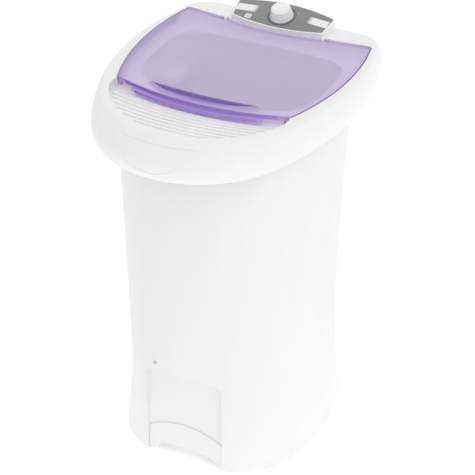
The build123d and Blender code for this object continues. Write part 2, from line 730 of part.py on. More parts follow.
with BuildPart() as top_housing:
    add(outer_block)
    add(front_recess.part, mode=Mode.SUBTRACT)
    loft(console_sketches(0.0, CONSOLE_ROOT))
    fillet(top_face(top_housing, panel_plane).edges(), CONSOLE_ROUND)
    add(housing_hollow.part, mode=Mode.SUBTRACT)
    # posts for the screws that come up through the cabinet's lip
    with BuildSketch(deck.offset(-LIP_DROP + WALL)):
        with Locations(*housing_screw_places):
            Circle(HOUSING_BOSS_RADIUS)
    extrude(amount=LIP_DROP - 2 * WALL)
    # lid well, scrubbing board and the mouth with its drip lip
    extrude(well_cut, amount=BOARD_REACH, mode=Mode.SUBTRACT)
    add(board_block(0.0), mode=Mode.SUBTRACT)
    extrude(drip_lip, amount=-DRIP_LIP_DROP)
    extrude(mouth_cut, amount=BAND_HEIGHT + BOARD_REACH / 5, mode=Mode.SUBTRACT)
    with BuildSketch(deck.offset(-LIP_DROP + WALL)):
        with Locations(*housing_screw_places):
            Circle(SCREW_RADIUS + RUNNING)
    extrude(amount=BOSS_HOLE_DEPTH, mode=Mode.SUBTRACT)
    for rib_part in board_ribs:
        add(rib_part)
    for lug_part in lug_profiles:
        add(lug_part)
    # seat of the control plate, shaft hole and the timer's posts
    extrude(plate_seat, amount=PLATE_THICK, mode=Mode.SUBTRACT)
    for plane in timer_planes:
        with BuildSketch(plane):
            Circle(TIMER_BOSS_RADIUS)
            Circle(SCREW_RADIUS + RUNNING, mode=Mode.SUBTRACT)
        extrude(amount=TIMER_BOSS_DEPTH + WALL / 2)
    with BuildSketch(panel_plane):
        Circle(TIMER_SHAFT_RADIUS + 2 * PLATE_THICK)
    extrude(amount=-2 * WALL, mode=Mode.SUBTRACT)

top_housing.part.label = "top_housing"
export_step(top_housing.part, "parts/top_housing.step")

# Control plate: a thin printed plate let into the console's face
with BuildPart() as control_plate:
    extrude(plate_sketch(panel_plane.offset(PLATE_PROUD - PLATE_THICK), PLATE_CORNER), amount=PLATE_THICK)
    with BuildSketch(panel_plane):
        Circle(TIMER_SHAFT_RADIUS + 2 * PLATE_THICK)
    extrude(amount=2 * PLATE_THICK, both=True, mode=Mode.SUBTRACT)

control_plate.part.label = "control_plate"
export_step(control_plate.part, "parts/control_plate.step")

# Timer knob: a turned cap with a raised pointer disc, hollow below, pushed on the timer's shaft
KNOB_RADIUS = 25.5
KNOB_HEIGHT = 22.0
KNOB_TOP_RADIUS = 20.0
KNOB_GAP = 1.0
KNOB_WALL = 2.2
KNOB_ROUND = 3.0
KNOB_HUB_RADIUS = 6.5
KNOB_DISC_RADIUS = 15.5
KNOB_DISC_RISE = 1.6
POINTER_WIDTH = 2.4
POINTER_LENGTH = 7.0
knob_plane = panel_plane.offset(PLATE_PROUD + KNOB_GAP)

with BuildPart() as timer_knob:
    with BuildSketch(knob_plane):
        Circle(KNOB_RADIUS)
    with BuildSketch(knob_plane.offset(KNOB_HEIGHT)):
        Circle(KNOB_TOP_RADIUS)
    loft()
    fillet(top_face(timer_knob, panel_plane).edges(), KNOB_ROUND)
    with BuildSketch(knob_plane.offset(KNOB_HEIGHT)):
        Circle(KNOB_DISC_RADIUS)
        with Locations((0, KNOB_DISC_RADIUS)):
            Rectangle(POINTER_WIDTH, POINTER_LENGTH, align=(Align.CENTER, Align.MAX))
    extrude(amount=KNOB_DISC_RISE)
    with BuildSketch(knob_plane):
        Circle(KNOB_RADIUS - KNOB_WALL)
        Circle(KNOB_HUB_RADIUS, mode=Mode.SUBTRACT)
    with BuildSketch(knob_plane.offset(KNOB_HEIGHT - KNOB_WALL)):
        Circle(KNOB_TOP_RADIUS - KNOB_WALL)
        Circle(KNOB_HUB_RADIUS, mode=Mode.SUBTRACT)
    loft(mode=Mode.SUBTRACT)
    with BuildSketch(knob_plane):
        Circle(TIMER_SHAFT_RADIUS + RUNNING)
    extrude(amount=KNOB_HEIGHT - 2 * KNOB_WALL, mode=Mode.SUBTRACT)

timer_knob.part.label = "timer_knob"
export_step(timer_knob.part, "parts/timer_knob.step")

# Timer: a clockwork box under a bracket that hangs from the two posts behind the console's face
TIMER_SIDE = 44.0
TIMER_DEPTH = 18.0
TIMER_BRACKET_WIDTH = 62.0
TIMER_BRACKET_HEIGHT = 48.0
TIMER_BRACKET_THICK = 1.5
TIMER_CORNER = 5.0
TIMER_NECK_RADIUS = 4.5
TIMER_TERMINAL = (0.8, 6.3, 8.0)
TIMER_TERMINAL_PITCH = 12.0
TIMER_SCREW_LENGTH = 8.0
timer_plane = panel_plane.offset(-WALL - TIMER_BOSS_DEPTH)
timer_floor = timer_plane.offset(-TIMER_BRACKET_THICK - TIMER_DEPTH)
timer_screw_planes = [
    shifted(timer_plane, x=side * TIMER_BOSS_REACH, z=-TIMER_BRACKET_THICK) for side in (-1, 1)
]

with BuildPart() as timer_body:
    with BuildSketch(timer_plane) as bracket_outline:
        Rectangle(TIMER_BRACKET_WIDTH, TIMER_BRACKET_HEIGHT)
        fillet(bracket_outline.vertices(), TIMER_CORNER)
        with Locations((-TIMER_BOSS_REACH, 0), (TIMER_BOSS_REACH, 0)):
            Circle(SCREW_RADIUS + CLEAR, mode=Mode.SUBTRACT)
    extrude(amount=-TIMER_BRACKET_THICK)
    with BuildSketch(timer_floor) as box_outline:
        Rectangle(TIMER_SIDE, TIMER_SIDE)
        fillet(box_outline.vertices(), TIMER_CORNER)
    extrude(amount=TIMER_DEPTH)
    with BuildSketch(timer_plane):
        Circle(TIMER_NECK_RADIUS)
    extrude(amount=TIMER_BOSS_DEPTH)
    with BuildSketch(timer_floor):
        with GridLocations(TIMER_TERMINAL_PITCH, TIMER_TERMINAL_PITCH, 3, 2):
            Rectangle(TIMER_TERMINAL[0], TIMER_TERMINAL[1])
    extrude(amount=-TIMER_TERMINAL[2])
    with BuildSketch(timer_plane.offset(TIMER_BOSS_DEPTH)):
        Circle(TIMER_SHAFT_RADIUS + RUNNING)
    extrude(amount=-TIMER_BOSS_DEPTH - TIMER_DEPTH / 2, mode=Mode.SUBTRACT)
    # room for the two screw heads
    for plane in timer_screw_planes:
        with BuildSketch(plane):
            Circle(SCREW_HEAD_RADIUS + CLEAR)
        extrude(amount=-TIMER_DEPTH - TIMER_TERMINAL[2], mode=Mode.SUBTRACT)

timer_body.part.label = "timer_body"
export_step(timer_body.part, "parts/timer_body.step")

with BuildPart() as timer_shaft:
    with BuildSketch(timer_plane.offset(-TIMER_DEPTH / 3)):
        Circle(TIMER_SHAFT_RADIUS)
    extrude(amount=TIMER_DEPTH / 3 + TIMER_BOSS_DEPTH + WALL + KNOB_HEIGHT - 2 * KNOB_WALL)

timer_shaft.part.label = "timer_shaft"
export_step(timer_shaft.part, "parts/timer_shaft.step")

timer_screws = screws(timer_screw_planes, TIMER_SCREW_LENGTH)
timer_screws.label = "timer_screws"
export_step(timer_screws, "parts/timer_screws.step")

# Lid: a crowned see-through moulding with skirts, a front flange, a finger scoop and two knuckles
LID_THICK = 2.5
LID_CROWN = 5.5
LID_EDGE_RISE = 1.5
LID_SKIRT = 14.7
LID_BACK_SKIRT = 4.6
LID_FRONT_SKIRT = 5.5
SKIRT_SPLIT_SET = 31.0
FRONT_SPLIT_SET = 2.0
FLANGE_REACH = 11.0
FLANGE_HALF = 147.0
FLANGE_THICK = 2.0
FLANGE_LIP = 8.5
LID_EDGE_ROUND = 1.0
SCOOP_HALF = 120.0
SCOOP_END = -80.0
SCOOP_FRONT = -113.0
SCOOP_BACK = -90.0
SCOOP_DEPTH = 3.5
KNUCKLE_GAP = 1.3
PIN_REACH = 5.2
NOTCH_SIDE = 1.0
NOTCH_FRONT = 9.5


def crown_sketch(drop):
    """The space below the lid's crowned top, lowered by drop, seen along the deck."""
    half = lid_half + OVERRUN
    edge = LID_CROWN - (LID_CROWN - LID_EDGE_RISE) * (half / lid_half) ** 2 - drop
    foot = -2 * LID_SKIRT
    with BuildSketch(shifted(deck, y=lid_widest, tilt=90)) as region:
        with BuildLine():
            ThreePointArc((-half, edge), (0, LID_CROWN - drop), (half, edge))
            Polyline((half, edge), (half, foot), (-half, foot), (-half, edge))
        make_face()
    return region.sketch


def scoop_sketch(plane, grow=0.0):
    """The finger scoop's crescent."""
    half = SCOOP_HALF + 2 * grow
    with BuildSketch(plane) as crescent:
        with BuildLine():
            ThreePointArc((-half, SCOOP_END), (0, SCOOP_FRONT - grow), (half, SCOOP_END))
            ThreePointArc((half, SCOOP_END), (0, SCOOP_BACK + grow), (-half, SCOOP_END))
        make_face()
    return crescent.sketch


skirt_split = lid_back - SKIRT_SPLIT_SET
lid_outline = lid_sketch(deck.offset(-LID_SKIRT))
lid_inner_outline = lid_sketch(deck.offset(-2 * LID_SKIRT), -LID_THICK)
lid_crown = crown_sketch(0.0)
lid_inner_crown = crown_sketch(LID_THICK)
scoop_block = scoop_sketch(deck.offset(-SCOOP_DEPTH - LID_THICK), LID_THICK)
scoop_cut = scoop_sketch(deck.offset(-SCOOP_DEPTH))
flange_outline = curved_bar(
    deck.offset(-LID_FRONT_SKIRT),
    lid_arc_centre,
    lid_arc_radius + FLANGE_REACH,
    FLANGE_REACH + LID_THICK / 2,
    FLANGE_HALF,
)
flange_lip_outline = curved_bar(
    deck.offset(-FLANGE_LIP),
    lid_arc_centre,
    lid_arc_radius + FLANGE_REACH,
    FLANGE_THICK,
    FLANGE_HALF,
)

with BuildPart() as lid_room:
    extrude(lid_inner_crown, amount=rim_reach, both=True)
    extrude(lid_inner_outline, amount=3 * LID_SKIRT, mode=Mode.INTERSECT)

with BuildPart() as lid:
    extrude(lid_crown, amount=rim_reach, both=True)
    extrude(lid_outline, amount=2 * LID_SKIRT, mode=Mode.INTERSECT)
    add(lid_room.part, mode=Mode.SUBTRACT)
    # the skirt is lower at the sides than at the back and the front
    with BuildSketch(deck.offset(-LID_SKIRT)):
        with Locations((0, skirt_split)):
            Rectangle(RIM_WIDTH, BACK_STRIP, align=(Align.CENTER, Align.MIN))
    extrude(amount=LID_SKIRT - LID_BACK_SKIRT, mode=Mode.SUBTRACT)
    with BuildSketch(deck.offset(-LID_SKIRT)):
        with Locations((0, lid_front - FRONT_SPLIT_SET)):
            Rectangle(RIM_WIDTH, BACK_STRIP, align=(Align.CENTER, Align.MAX))
    extrude(amount=LID_SKIRT - LID_FRONT_SKIRT, mode=Mode.SUBTRACT)
    # front flange with its turned-down lip
    extrude(flange_outline, amount=FLANGE_THICK)
    extrude(flange_lip_outline, amount=FLANGE_LIP - LID_FRONT_SKIRT + FLANGE_THICK)
    # finger scoop
    extrude(scoop_block, amount=SCOOP_DEPTH + LID_CROWN)
    extrude(scoop_cut, amount=2 * LID_SKIRT, mode=Mode.SUBTRACT)
    # notches round the hinge lugs, then knuckles and pins beside them
    with BuildSketch(deck.offset(-LID_SKIRT)):
        for side in (-1, 1):
            with Locations((side * (lug_outer - LUG_WIDTH / 2), hinge_y - NOTCH_FRONT)):
                Rectangle(LUG_WIDTH + 2 * NOTCH_SIDE, BACK_STRIP, align=(Align.CENTER, Align.MIN))
    extrude(amount=2 * LID_SKIRT, mode=Mode.SUBTRACT)
    for x, width, radius in (
        (lug_outer + KNUCKLE_GAP, KNUCKLE_WIDTH, KNUCKLE_RADIUS),
        (-lug_outer - KNUCKLE_GAP - KNUCKLE_WIDTH, KNUCKLE_WIDTH, KNUCKLE_RADIUS),
        (lug_outer - PIN_REACH, PIN_REACH + KNUCKLE_GAP, PIN_RADIUS),
        (-lug_outer - KNUCKLE_GAP, PIN_REACH + KNUCKLE_GAP, PIN_RADIUS),
    ):
        with BuildSketch(hinge_plane(x)):
            Circle(radius)
        extrude(amount=width)

lid.part.label = "lid"
export_step(lid.part, "parts/lid.step")

# Rubber pads in the lid well that the lid's skirt comes down on
PAD_RADIUS = 4.0
PAD_HEIGHT = 3.0
PAD_ROUND = 1.0
PAD_PLACES = ((201.7, -60.0), (228.0, 90.0))

with BuildPart() as lid_pads:
    with BuildSketch(deck.offset(-LID_WELL_DEPTH)):
        for side in (-1, 1):
            with Locations(*[(side * x, y) for x, y in PAD_PLACES]):
                Circle(PAD_RADIUS)
    extrude(amount=PAD_HEIGHT)
    pad_tops = lid_pads.faces().filter_by(Axis(deck.origin, deck.z_dir)).sort_by(Axis(deck.origin, deck.z_dir))
    fillet(pad_tops[-2 * len(PAD_PLACES):].edges(), PAD_ROUND)

lid_pads.part.label = "lid_pads"
export_step(lid_pads.part, "parts/lid_pads.step")

# Wash tub: a tapered moulding hung by its flange between the cabinet's lip and the top housing
TUB_BOTTOM_HALF = 145.0
TUB_BOTTOM_FRONT = -62.0
TUB_BOTTOM_BACK = 182.0
TUB_BOTTOM_BOWS = (40.0, 10.0, 8.0)
TUB_BOTTOM_RADII = (75.0, 45.0)
TUB_BOTTOM_ROUND = 28.0
FILTER_PAD_FACE = -165.0
FILTER_PAD_ROWS = (85.0, 165.0)
FILTER_PAD_LEVELS = (640.0, 760.0)
FILTER_PAD_REACH = 60.0
RAIL_HEIGHT = 100.0
RAIL_WIDTH = 6.0
RAIL_DEPTH = 8.0
RAIL_SLOT = 3.0
FILTER_EDGE = 3.0
HUB_HOLE_RADIUS = 20.3
TUB_POST_RADIUS = 9.0
TUB_POST_X = 85.0
TUB_POST_ROWS = (15.0, 105.0)
BRACKET_TOP = 420.0
BRACKET_THICK = 3.0
BRACKET_SCREW_LENGTH = 14.0
SPIGOT_X = OUTLET_X
SPIGOT_Y = 130.0
SPIGOT_FOOT = 405.0
SPIGOT_WALL = 2.5
DRAIN_SEAT_RADIUS = 20.0
DRAIN_SEAT_DEPTH = 1.2
mouth_level = deck.offset(-LID_WELL_DEPTH - WALL)
tub_post_places = [(side * TUB_POST_X, y) for side in (-1, 1) for y in TUB_POST_ROWS]
pad_middle = (FILTER_PAD_ROWS[0] + FILTER_PAD_ROWS[1]) / 2
pad_width = FILTER_PAD_ROWS[1] - FILTER_PAD_ROWS[0]
pad_height = FILTER_PAD_LEVELS[1] - FILTER_PAD_LEVELS[0]


def tub_block(shrink):
    """The tub as a solid block, moved inwards by shrink."""
    bottom = bowed_sketch(
        Plane.XY.offset(TUB_FLOOR - TUB_WALL + shrink),
        TUB_BOTTOM_HALF + TUB_WALL - shrink,
        TUB_BOTTOM_FRONT - TUB_WALL + shrink,
        TUB_BOTTOM_BACK + TUB_WALL - shrink,
        TUB_BOTTOM_BOWS,
        grown(TUB_BOTTOM_RADII, TUB_WALL - shrink),
    )
    with BuildPart() as block:
        loft([bottom, mouth_sketch(mouth_level, shrink - TUB_WALL)], ruled=True)
        fillet(block.faces().sort_by(Axis.Z)[0].edges(), TUB_BOTTOM_ROUND + TUB_WALL - shrink)
    return block.part


tub_outer = tub_block(0.0)
tub_inner = tub_block(TUB_WALL)
tub_flange = lip_sketch(deck.offset(-LIP_DROP))

with BuildPart() as tub_room:
    add(tub_inner)
    # the wall steps inwards behind the lint filter
    with BuildSketch(Plane.XY.offset(FILTER_PAD_LEVELS[0])):
        with Locations((FILTER_PAD_FACE, pad_middle)):
            Rectangle(FILTER_PAD_REACH, pad_width, align=(Align.MAX, Align.CENTER))
    extrude(amount=pad_height, mode=Mode.SUBTRACT)

with BuildPart() as wash_tub:
    add(tub_outer)
    extrude(tub_flange, amount=WALL)
    add(tub_room.part, mode=Mode.SUBTRACT)
    with BuildSketch(Plane.XY.offset(FILTER_PAD_LEVELS[0] + TUB_WALL)):
        with Locations((FILTER_PAD_FACE - TUB_WALL, pad_middle)):
            Rectangle(FILTER_PAD_REACH, pad_width - 2 * TUB_WALL, align=(Align.MAX, Align.CENTER))
    extrude(amount=pad_height - 2 * TUB_WALL, mode=Mode.SUBTRACT)
    # rails that hold the lint filter by its two edges
    with BuildSketch(Plane.XY.offset(FILTER_PAD_LEVELS[0])):
        for side in (-1, 1):
            with Locations((FILTER_PAD_FACE - TUB_WALL / 2, pad_middle + side * pad_width / 2)):
                Rectangle(RAIL_DEPTH + TUB_WALL / 2, 2 * RAIL_WIDTH, align=(Align.MIN, Align.CENTER))
    extrude(amount=RAIL_HEIGHT)
    with BuildSketch(Plane.XY.offset(FILTER_PAD_LEVELS[0] + RAIL_WIDTH)):
        with Locations((FILTER_PAD_FACE, pad_middle)):
            Rectangle(RAIL_DEPTH - RAIL_SLOT, pad_width - FILTER_EDGE, align=(Align.MIN, Align.CENTER))
            Rectangle(
                2 * RAIL_DEPTH, pad_width - FILTER_EDGE - 2 * RAIL_SLOT, align=(Align.MIN, Align.CENTER)
            )
    extrude(amount=RAIL_HEIGHT, mode=Mode.SUBTRACT)
    # posts for the motor bracket, drain spigot, and the holes in the floor
    with BuildSketch(Plane.XY.offset(BRACKET_TOP)):
        with Locations(*tub_post_places):
            Circle(TUB_POST_RADIUS)
    extrude(amount=TUB_FLOOR - BRACKET_TOP - TUB_WALL / 2)
    with BuildSketch(Plane.XY.offset(BRACKET_TOP)):
        with Locations(*tub_post_places):
            Circle(SCREW_RADIUS + RUNNING)
    extrude(amount=BRACKET_SCREW_LENGTH, mode=Mode.SUBTRACT)
    with BuildSketch(Plane.XY.offset(SPIGOT_FOOT)):
        with Locations((SPIGOT_X, SPIGOT_Y)):
            Circle(OUTLET_RADIUS)
    extrude(amount=TUB_FLOOR - SPIGOT_FOOT - TUB_WALL / 2)
    with BuildSketch(Plane.XY.offset(SPIGOT_FOOT)):
        with Locations((SPIGOT_X, SPIGOT_Y)):
            Circle(OUTLET_RADIUS - SPIGOT_WALL)
        with Locations((0, TUB_CENTRE)):
            Circle(HUB_HOLE_RADIUS)
    extrude(amount=2 * (TUB_FLOOR - SPIGOT_FOOT), mode=Mode.SUBTRACT)
    with BuildSketch(deck.offset(-LIP_DROP - WALL)):
        with Locations(*housing_screw_places):
            Circle(SCREW_RADIUS + CLEAR)
    extrude(amount=3 * WALL, mode=Mode.SUBTRACT)

wash_tub.part.label = "wash_tub"
export_step(wash_tub.part, "parts/wash_tub.step")

# Drain grille: a slotted disc that covers the drain hole, its neck pushed into the spigot
GRILLE_RADIUS = 15.5
GRILLE_THICK = 2.0
GRILLE_NECK = 14.0
GRILLE_SLOT = 3.0
GRILLE_PITCH = 5.0
GRILLE_ROWS = 3
GRILLE_SLOT_LENGTH = 17.0

with BuildPart() as drain_grille:
    with BuildSketch(Plane.XY.offset(TUB_FLOOR)):
        with Locations((SPIGOT_X, SPIGOT_Y)):
            Circle(GRILLE_RADIUS)
    extrude(amount=GRILLE_THICK)
    fillet(drain_grille.faces().sort_by(Axis.Z)[-1].edges(), GRILLE_THICK / 2)
    with BuildSketch(Plane.XY.offset(TUB_FLOOR)):
        with Locations((SPIGOT_X, SPIGOT_Y)):
            with GridLocations(GRILLE_PITCH, GRILLE_PITCH, 1, GRILLE_ROWS):
                SlotOverall(GRILLE_SLOT_LENGTH, GRILLE_SLOT)
    extrude(amount=GRILLE_THICK, mode=Mode.SUBTRACT)
    with BuildSketch(Plane.XY.offset(TUB_FLOOR - GRILLE_NECK)):
        with Locations((SPIGOT_X, SPIGOT_Y)):
            Circle(OUTLET_RADIUS - SPIGOT_WALL - RUNNING)
            Circle(OUTLET_RADIUS - SPIGOT_WALL - GRILLE_THICK, mode=Mode.SUBTRACT)
    extrude(amount=GRILLE_NECK)

drain_grille.part.label = "drain_grille"
export_step(drain_grille.part, "parts/drain_grille.step")

# Lint filter: a frame with a grid of windows that slides in the tub's rails, and its mesh behind
FILTER_THICK = 4.4
FILTER_FOOT = 646.3
FILTER_HEIGHT = 106.0
FILTER_COLUMNS = 5
FILTER_ROWS = 8
FILTER_BAR = 2.4
FILTER_BORDER = 6.0
MESH_THICK = 0.6
GRIP_WIDTH = 24.0
GRIP_HEIGHT = 8.0
GRIP_DEPTH = 5.0
filter_width = pad_width - FILTER_EDGE - 2 * CLEAR
filter_face = FILTER_PAD_FACE + CLEAR
window_width = (filter_width - 2 * FILTER_BORDER - 2 * RAIL_SLOT + FILTER_BAR) / FILTER_COLUMNS
window_height = (FILTER_HEIGHT - 2 * FILTER_BORDER + FILTER_BAR) / FILTER_ROWS
filter_plane = Plane(
    origin=(filter_face, pad_middle, FILTER_FOOT + FILTER_HEIGHT / 2), x_dir=(0, 1, 0), z_dir=(1, 0, 0)
)

with BuildPart() as filter_frame:
    with BuildSketch(filter_plane) as frame_outline:
        Rectangle(filter_width, FILTER_HEIGHT)
        fillet(frame_outline.vertices(), FILTER_EDGE)
        with GridLocations(window_width, window_height, FILTER_COLUMNS, FILTER_ROWS):
            Rectangle(window_width - FILTER_BAR, window_height - FILTER_BAR, mode=Mode.SUBTRACT)
    extrude(amount=FILTER_THICK)
    with BuildSketch(filter_plane.offset(FILTER_THICK)) as grip:
        with Locations((0, (FILTER_HEIGHT - GRIP_HEIGHT) / 2)):
            Rectangle(GRIP_WIDTH, GRIP_HEIGHT)
        fillet(grip.vertices(), FILTER_EDGE)
    extrude(amount=GRIP_DEPTH)
    # seat of the mesh in the frame's back
    with BuildSketch(filter_plane):
        Rectangle(filter_width - 2 * FILTER_BORDER, FILTER_HEIGHT - FILTER_BORDER)
    extrude(amount=MESH_THICK, mode=Mode.SUBTRACT)

filter_frame.part.label = "filter_frame"
export_step(filter_frame.part, "parts/filter_frame.step")

with BuildPart() as filter_mesh:
    with BuildSketch(filter_plane):
        Rectangle(filter_width - 2 * FILTER_BORDER - CLEAR, FILTER_HEIGHT - FILTER_BORDER - CLEAR)
    extrude(amount=MESH_THICK)

filter_mesh.part.label = "filter_mesh"
export_step(filter_mesh.part, "parts/filter_mesh.step")

# Motor bracket: a pressed plate screwed under the tub; it carries the bearing housing and the motor
BRACKET_HALF = 120.0
BRACKET_FRONT = -165.0
BRACKET_BACK = 125.0
BRACKET_CORNER = 18.0
HOSE_ROOM_RADIUS = 19.0
MOTOR_BOLT_REACH = 78.0
MOTOR_BOLT_SPREAD = 30.0
GROMMET_RADIUS = 9.0
GROMMET_HEIGHT = 6.0
BOLT_RADIUS = 2.5
BARREL_RADIUS = 19.0
BARREL_FLANGE_RADIUS = 48.0
BARREL_FLANGE_THICK = 6.0
BARREL_SHOULDER_RADIUS = 30.0
BARREL_FOOT = 318.0
RING_NUT_THICK = 6.0
RING_NUT_RADIUS = 28.0
GASKET_THICK = 3.0
NECK_RADIUS = 20.0
FLANGE_BOLT_REACH = 40.0
motor_y = TUB_CENTRE - MOTOR_DISTANCE
shaft_plane = Plane(origin=(0, TUB_CENTRE, 0), x_dir=(1, 0, 0), z_dir=(0, 0, 1))
motor_plane = Plane(origin=(0, motor_y, 0), x_dir=(1, 0, 0), z_dir=(0, 0, 1))
motor_bolt_places = [
    (side * MOTOR_BOLT_REACH, motor_y + way * MOTOR_BOLT_SPREAD) for side in (-1, 1) for way in (-1, 1)
]

with BuildPart() as motor_bracket:
    with BuildSketch(Plane.XY.offset(BRACKET_TOP - BRACKET_THICK)) as bracket:
        with Locations((0, (BRACKET_FRONT + BRACKET_BACK) / 2)):
            Rectangle(2 * BRACKET_HALF, BRACKET_BACK - BRACKET_FRONT)
        fillet(bracket.vertices(), BRACKET_CORNER)
        with Locations(*tub_post_places):
            Circle(SCREW_RADIUS + CLEAR, mode=Mode.SUBTRACT)
        with Locations(*motor_bolt_places):
            Circle(BOLT_RADIUS + CLEAR, mode=Mode.SUBTRACT)
        with Locations((SPIGOT_X, SPIGOT_Y)):
            Circle(HOSE_ROOM_RADIUS, mode=Mode.SUBTRACT)
        with Locations((0, TUB_CENTRE)):
            Circle(BARREL_RADIUS + CLEAR, mode=Mode.SUBTRACT)
            with PolarLocations(FLANGE_BOLT_REACH, 4, start_angle=45):
                Circle(BOLT_RADIUS + CLEAR, mode=Mode.SUBTRACT)
    extrude(amount=BRACKET_THICK)

motor_bracket.part.label = "motor_bracket"
export_step(motor_bracket.part, "parts/motor_bracket.step")

bracket_screws = screws(
    [Plane(origin=(x, y, BRACKET_TOP - BRACKET_THICK)) for x, y in tub_post_places],
    BRACKET_SCREW_LENGTH,
)
bracket_screws.label = "bracket_screws"
export_step(bracket_screws, "parts/bracket_screws.step")

# Bearing housing: a turned aluminium barrel whose neck comes up through the tub's floor
SHAFT_FOOT = 280.0
SHAFT_TOP = 480.0
BUSH_RADIUS = 13.0
BUSH_LENGTH = 25.0
SEAL_RADIUS = 15.0
SEAL_THICK = 7.0
BARREL_BORE = SHAFT_RADIUS + 2.0
gasket_foot = TUB_FLOOR - TUB_WALL - GASKET_THICK
neck_top = TUB_FLOOR + RING_NUT_THICK
barrel = revolved(
    shaft_plane,
    [
        (BARREL_BORE, BARREL_FOOT + BUSH_LENGTH),
        (BUSH_RADIUS, BARREL_FOOT + BUSH_LENGTH),
        (BUSH_RADIUS, BARREL_FOOT),
        (BARREL_RADIUS, BARREL_FOOT),
        (BARREL_RADIUS, BRACKET_TOP),
        (BARREL_FLANGE_RADIUS, BRACKET_TOP),
        (BARREL_FLANGE_RADIUS, BRACKET_TOP + BARREL_FLANGE_THICK),
        (BARREL_SHOULDER_RADIUS, BRACKET_TOP + BARREL_FLANGE_THICK),
        (BARREL_SHOULDER_RADIUS, gasket_foot),
        (NECK_RADIUS, gasket_foot),
        (NECK_RADIUS, neck_top),
        (SEAL_RADIUS, neck_top),
        (SEAL_RADIUS, neck_top - SEAL_THICK),
        (BUSH_RADIUS, neck_top - SEAL_THICK),
        (BUSH_RADIUS, neck_top - SEAL_THICK - BUSH_LENGTH),
        (BARREL_BORE, neck_top - SEAL_THICK - BUSH_LENGTH),
    ],
)

with BuildPart() as bearing_housing:
    add(barrel)
    with BuildSketch(shaft_plane.offset(BRACKET_TOP)):
        with PolarLocations(FLANGE_BOLT_REACH, 4, start_angle=45):
            Circle(BOLT_RADIUS + RUNNING)
    extrude(amount=BARREL_FLANGE_THICK, mode=Mode.SUBTRACT)

bearing_housing.part.label = "bearing_housing"
export_step(bearing_housing.part, "parts/bearing_housing.step")


def ring(plane, outer, inner, height, rounded=0.0):
    """A plain ring or a bush standing on a plane, its top edges rounded."""
    with BuildPart() as one:
        with BuildSketch(plane):
            Circle(outer)
            Circle(inner, mode=Mode.SUBTRACT)
        extrude(amount=height)
        if rounded:
            fillet(top_face(one, plane).edges(), rounded)
    return one.part


def hexagon(plane, across, bore, height):
    """A hexagonal nut standing on a plane."""
    with BuildPart() as one:
        with BuildSketch(plane):
            RegularPolygon(across / 2, 6, major_radius=False)
            Circle(bore, mode=Mode.SUBTRACT)
        extrude(amount=height)
    return one.part


bush_planes = [shaft_plane.offset(BARREL_FOOT), shaft_plane.offset(neck_top - SEAL_THICK - BUSH_LENGTH)]
bushes = Compound(
    children=[ring(plane, BUSH_RADIUS, SHAFT_RADIUS + RUNNING, BUSH_LENGTH) for plane in bush_planes]
)
bushes.label = "shaft_bushes"
export_step(bushes, "parts/shaft_bushes.step")

shaft_seal = ring(
    shaft_plane.offset(neck_top - SEAL_THICK), SEAL_RADIUS, SHAFT_RADIUS + RUNNING, SEAL_THICK, RUNNING * 10
)
shaft_seal.label = "shaft_seal"
export_step(shaft_seal, "parts/shaft_seal.step")

tub_gasket = ring(shaft_plane.offset(gasket_foot), BARREL_SHOULDER_RADIUS, NECK_RADIUS + CLEAR, GASKET_THICK)
tub_gasket.label = "tub_gasket"
export_step(tub_gasket, "parts/tub_gasket.step")

RING_NUT_FLATS = 6
with BuildPart() as ring_nut:
    add(ring(shaft_plane.offset(TUB_FLOOR), RING_NUT_RADIUS, NECK_RADIUS + RUNNING, RING_NUT_THICK, SCREW_RADIUS / 2))
    with BuildSketch(shaft_plane.offset(TUB_FLOOR)):
        with PolarLocations(RING_NUT_RADIUS, RING_NUT_FLATS):
            Circle(SCREW_RADIUS)
    extrude(amount=RING_NUT_THICK, mode=Mode.SUBTRACT)

ring_nut.part.label = "ring_nut"
export_step(ring_nut.part, "parts/ring_nut.step")

FLANGE_BOLT_LENGTH = 9.0
FLANGE_BOLT_HEAD = 8.0
flange_bolt_places = [
    (FLANGE_BOLT_REACH * x, TUB_CENTRE + FLANGE_BOLT_REACH * y)
    for x in (-cos(radians(45)), cos(radians(45)))
    for y in (-sin(radians(45)), sin(radians(45)))
]


def bolt(plane, length):
    """A hexagon bolt: its shank runs up the plane's normal, its head lies below the plane."""
    with BuildPart() as one:
        with BuildSketch(plane):
            Circle(BOLT_RADIUS)
        extrude(amount=length)
        with BuildSketch(plane):
            RegularPolygon(FLANGE_BOLT_HEAD / 2, 6, major_radius=False)
        extrude(amount=-SCREW_HEAD_THICK)
    return one.part


flange_bolts = Compound(
    children=[
        bolt(Plane(origin=(x, y, BRACKET_TOP - BRACKET_THICK)), FLANGE_BOLT_LENGTH)
        for x, y in flange_bolt_places
    ]
)
flange_bolts.label = "flange_bolts"
export_step(flange_bolts, "parts/flange_bolts.step")

# Agitator: a moulded disc with four curved-topped fins round a domed hub
AGITATOR_RADIUS = 100.0
AGITATOR_FOOT = 450.0
AGITATOR_THICK = 5.0
AGITATOR_EDGE = 3.0
HUB_RADIUS = 34.0
HUB_HEIGHT = 44.0
HUB_TOP_RADIUS = 20.0
HUB_WALL = 4.0
FIN_COUNT = 4
FIN_WIDTH = 11.0
FIN_HEIGHT = 26.0
FIN_ROUND = 4.0
SHAFT_COLLAR = 13.0
CAP_RADIUS = 17.0
CAP_HEIGHT = 7.0
agitator_plane = shaft_plane.offset(AGITATOR_FOOT)
agitator_disc = revolved(
    agitator_plane,
    [
        (0, 0),
        (AGITATOR_RADIUS, 0),
        (AGITATOR_RADIUS, AGITATOR_EDGE),
        (HUB_RADIUS, AGITATOR_THICK + AGITATOR_EDGE),
        (HUB_TOP_RADIUS, HUB_HEIGHT),
        (0, HUB_HEIGHT),
    ],
)

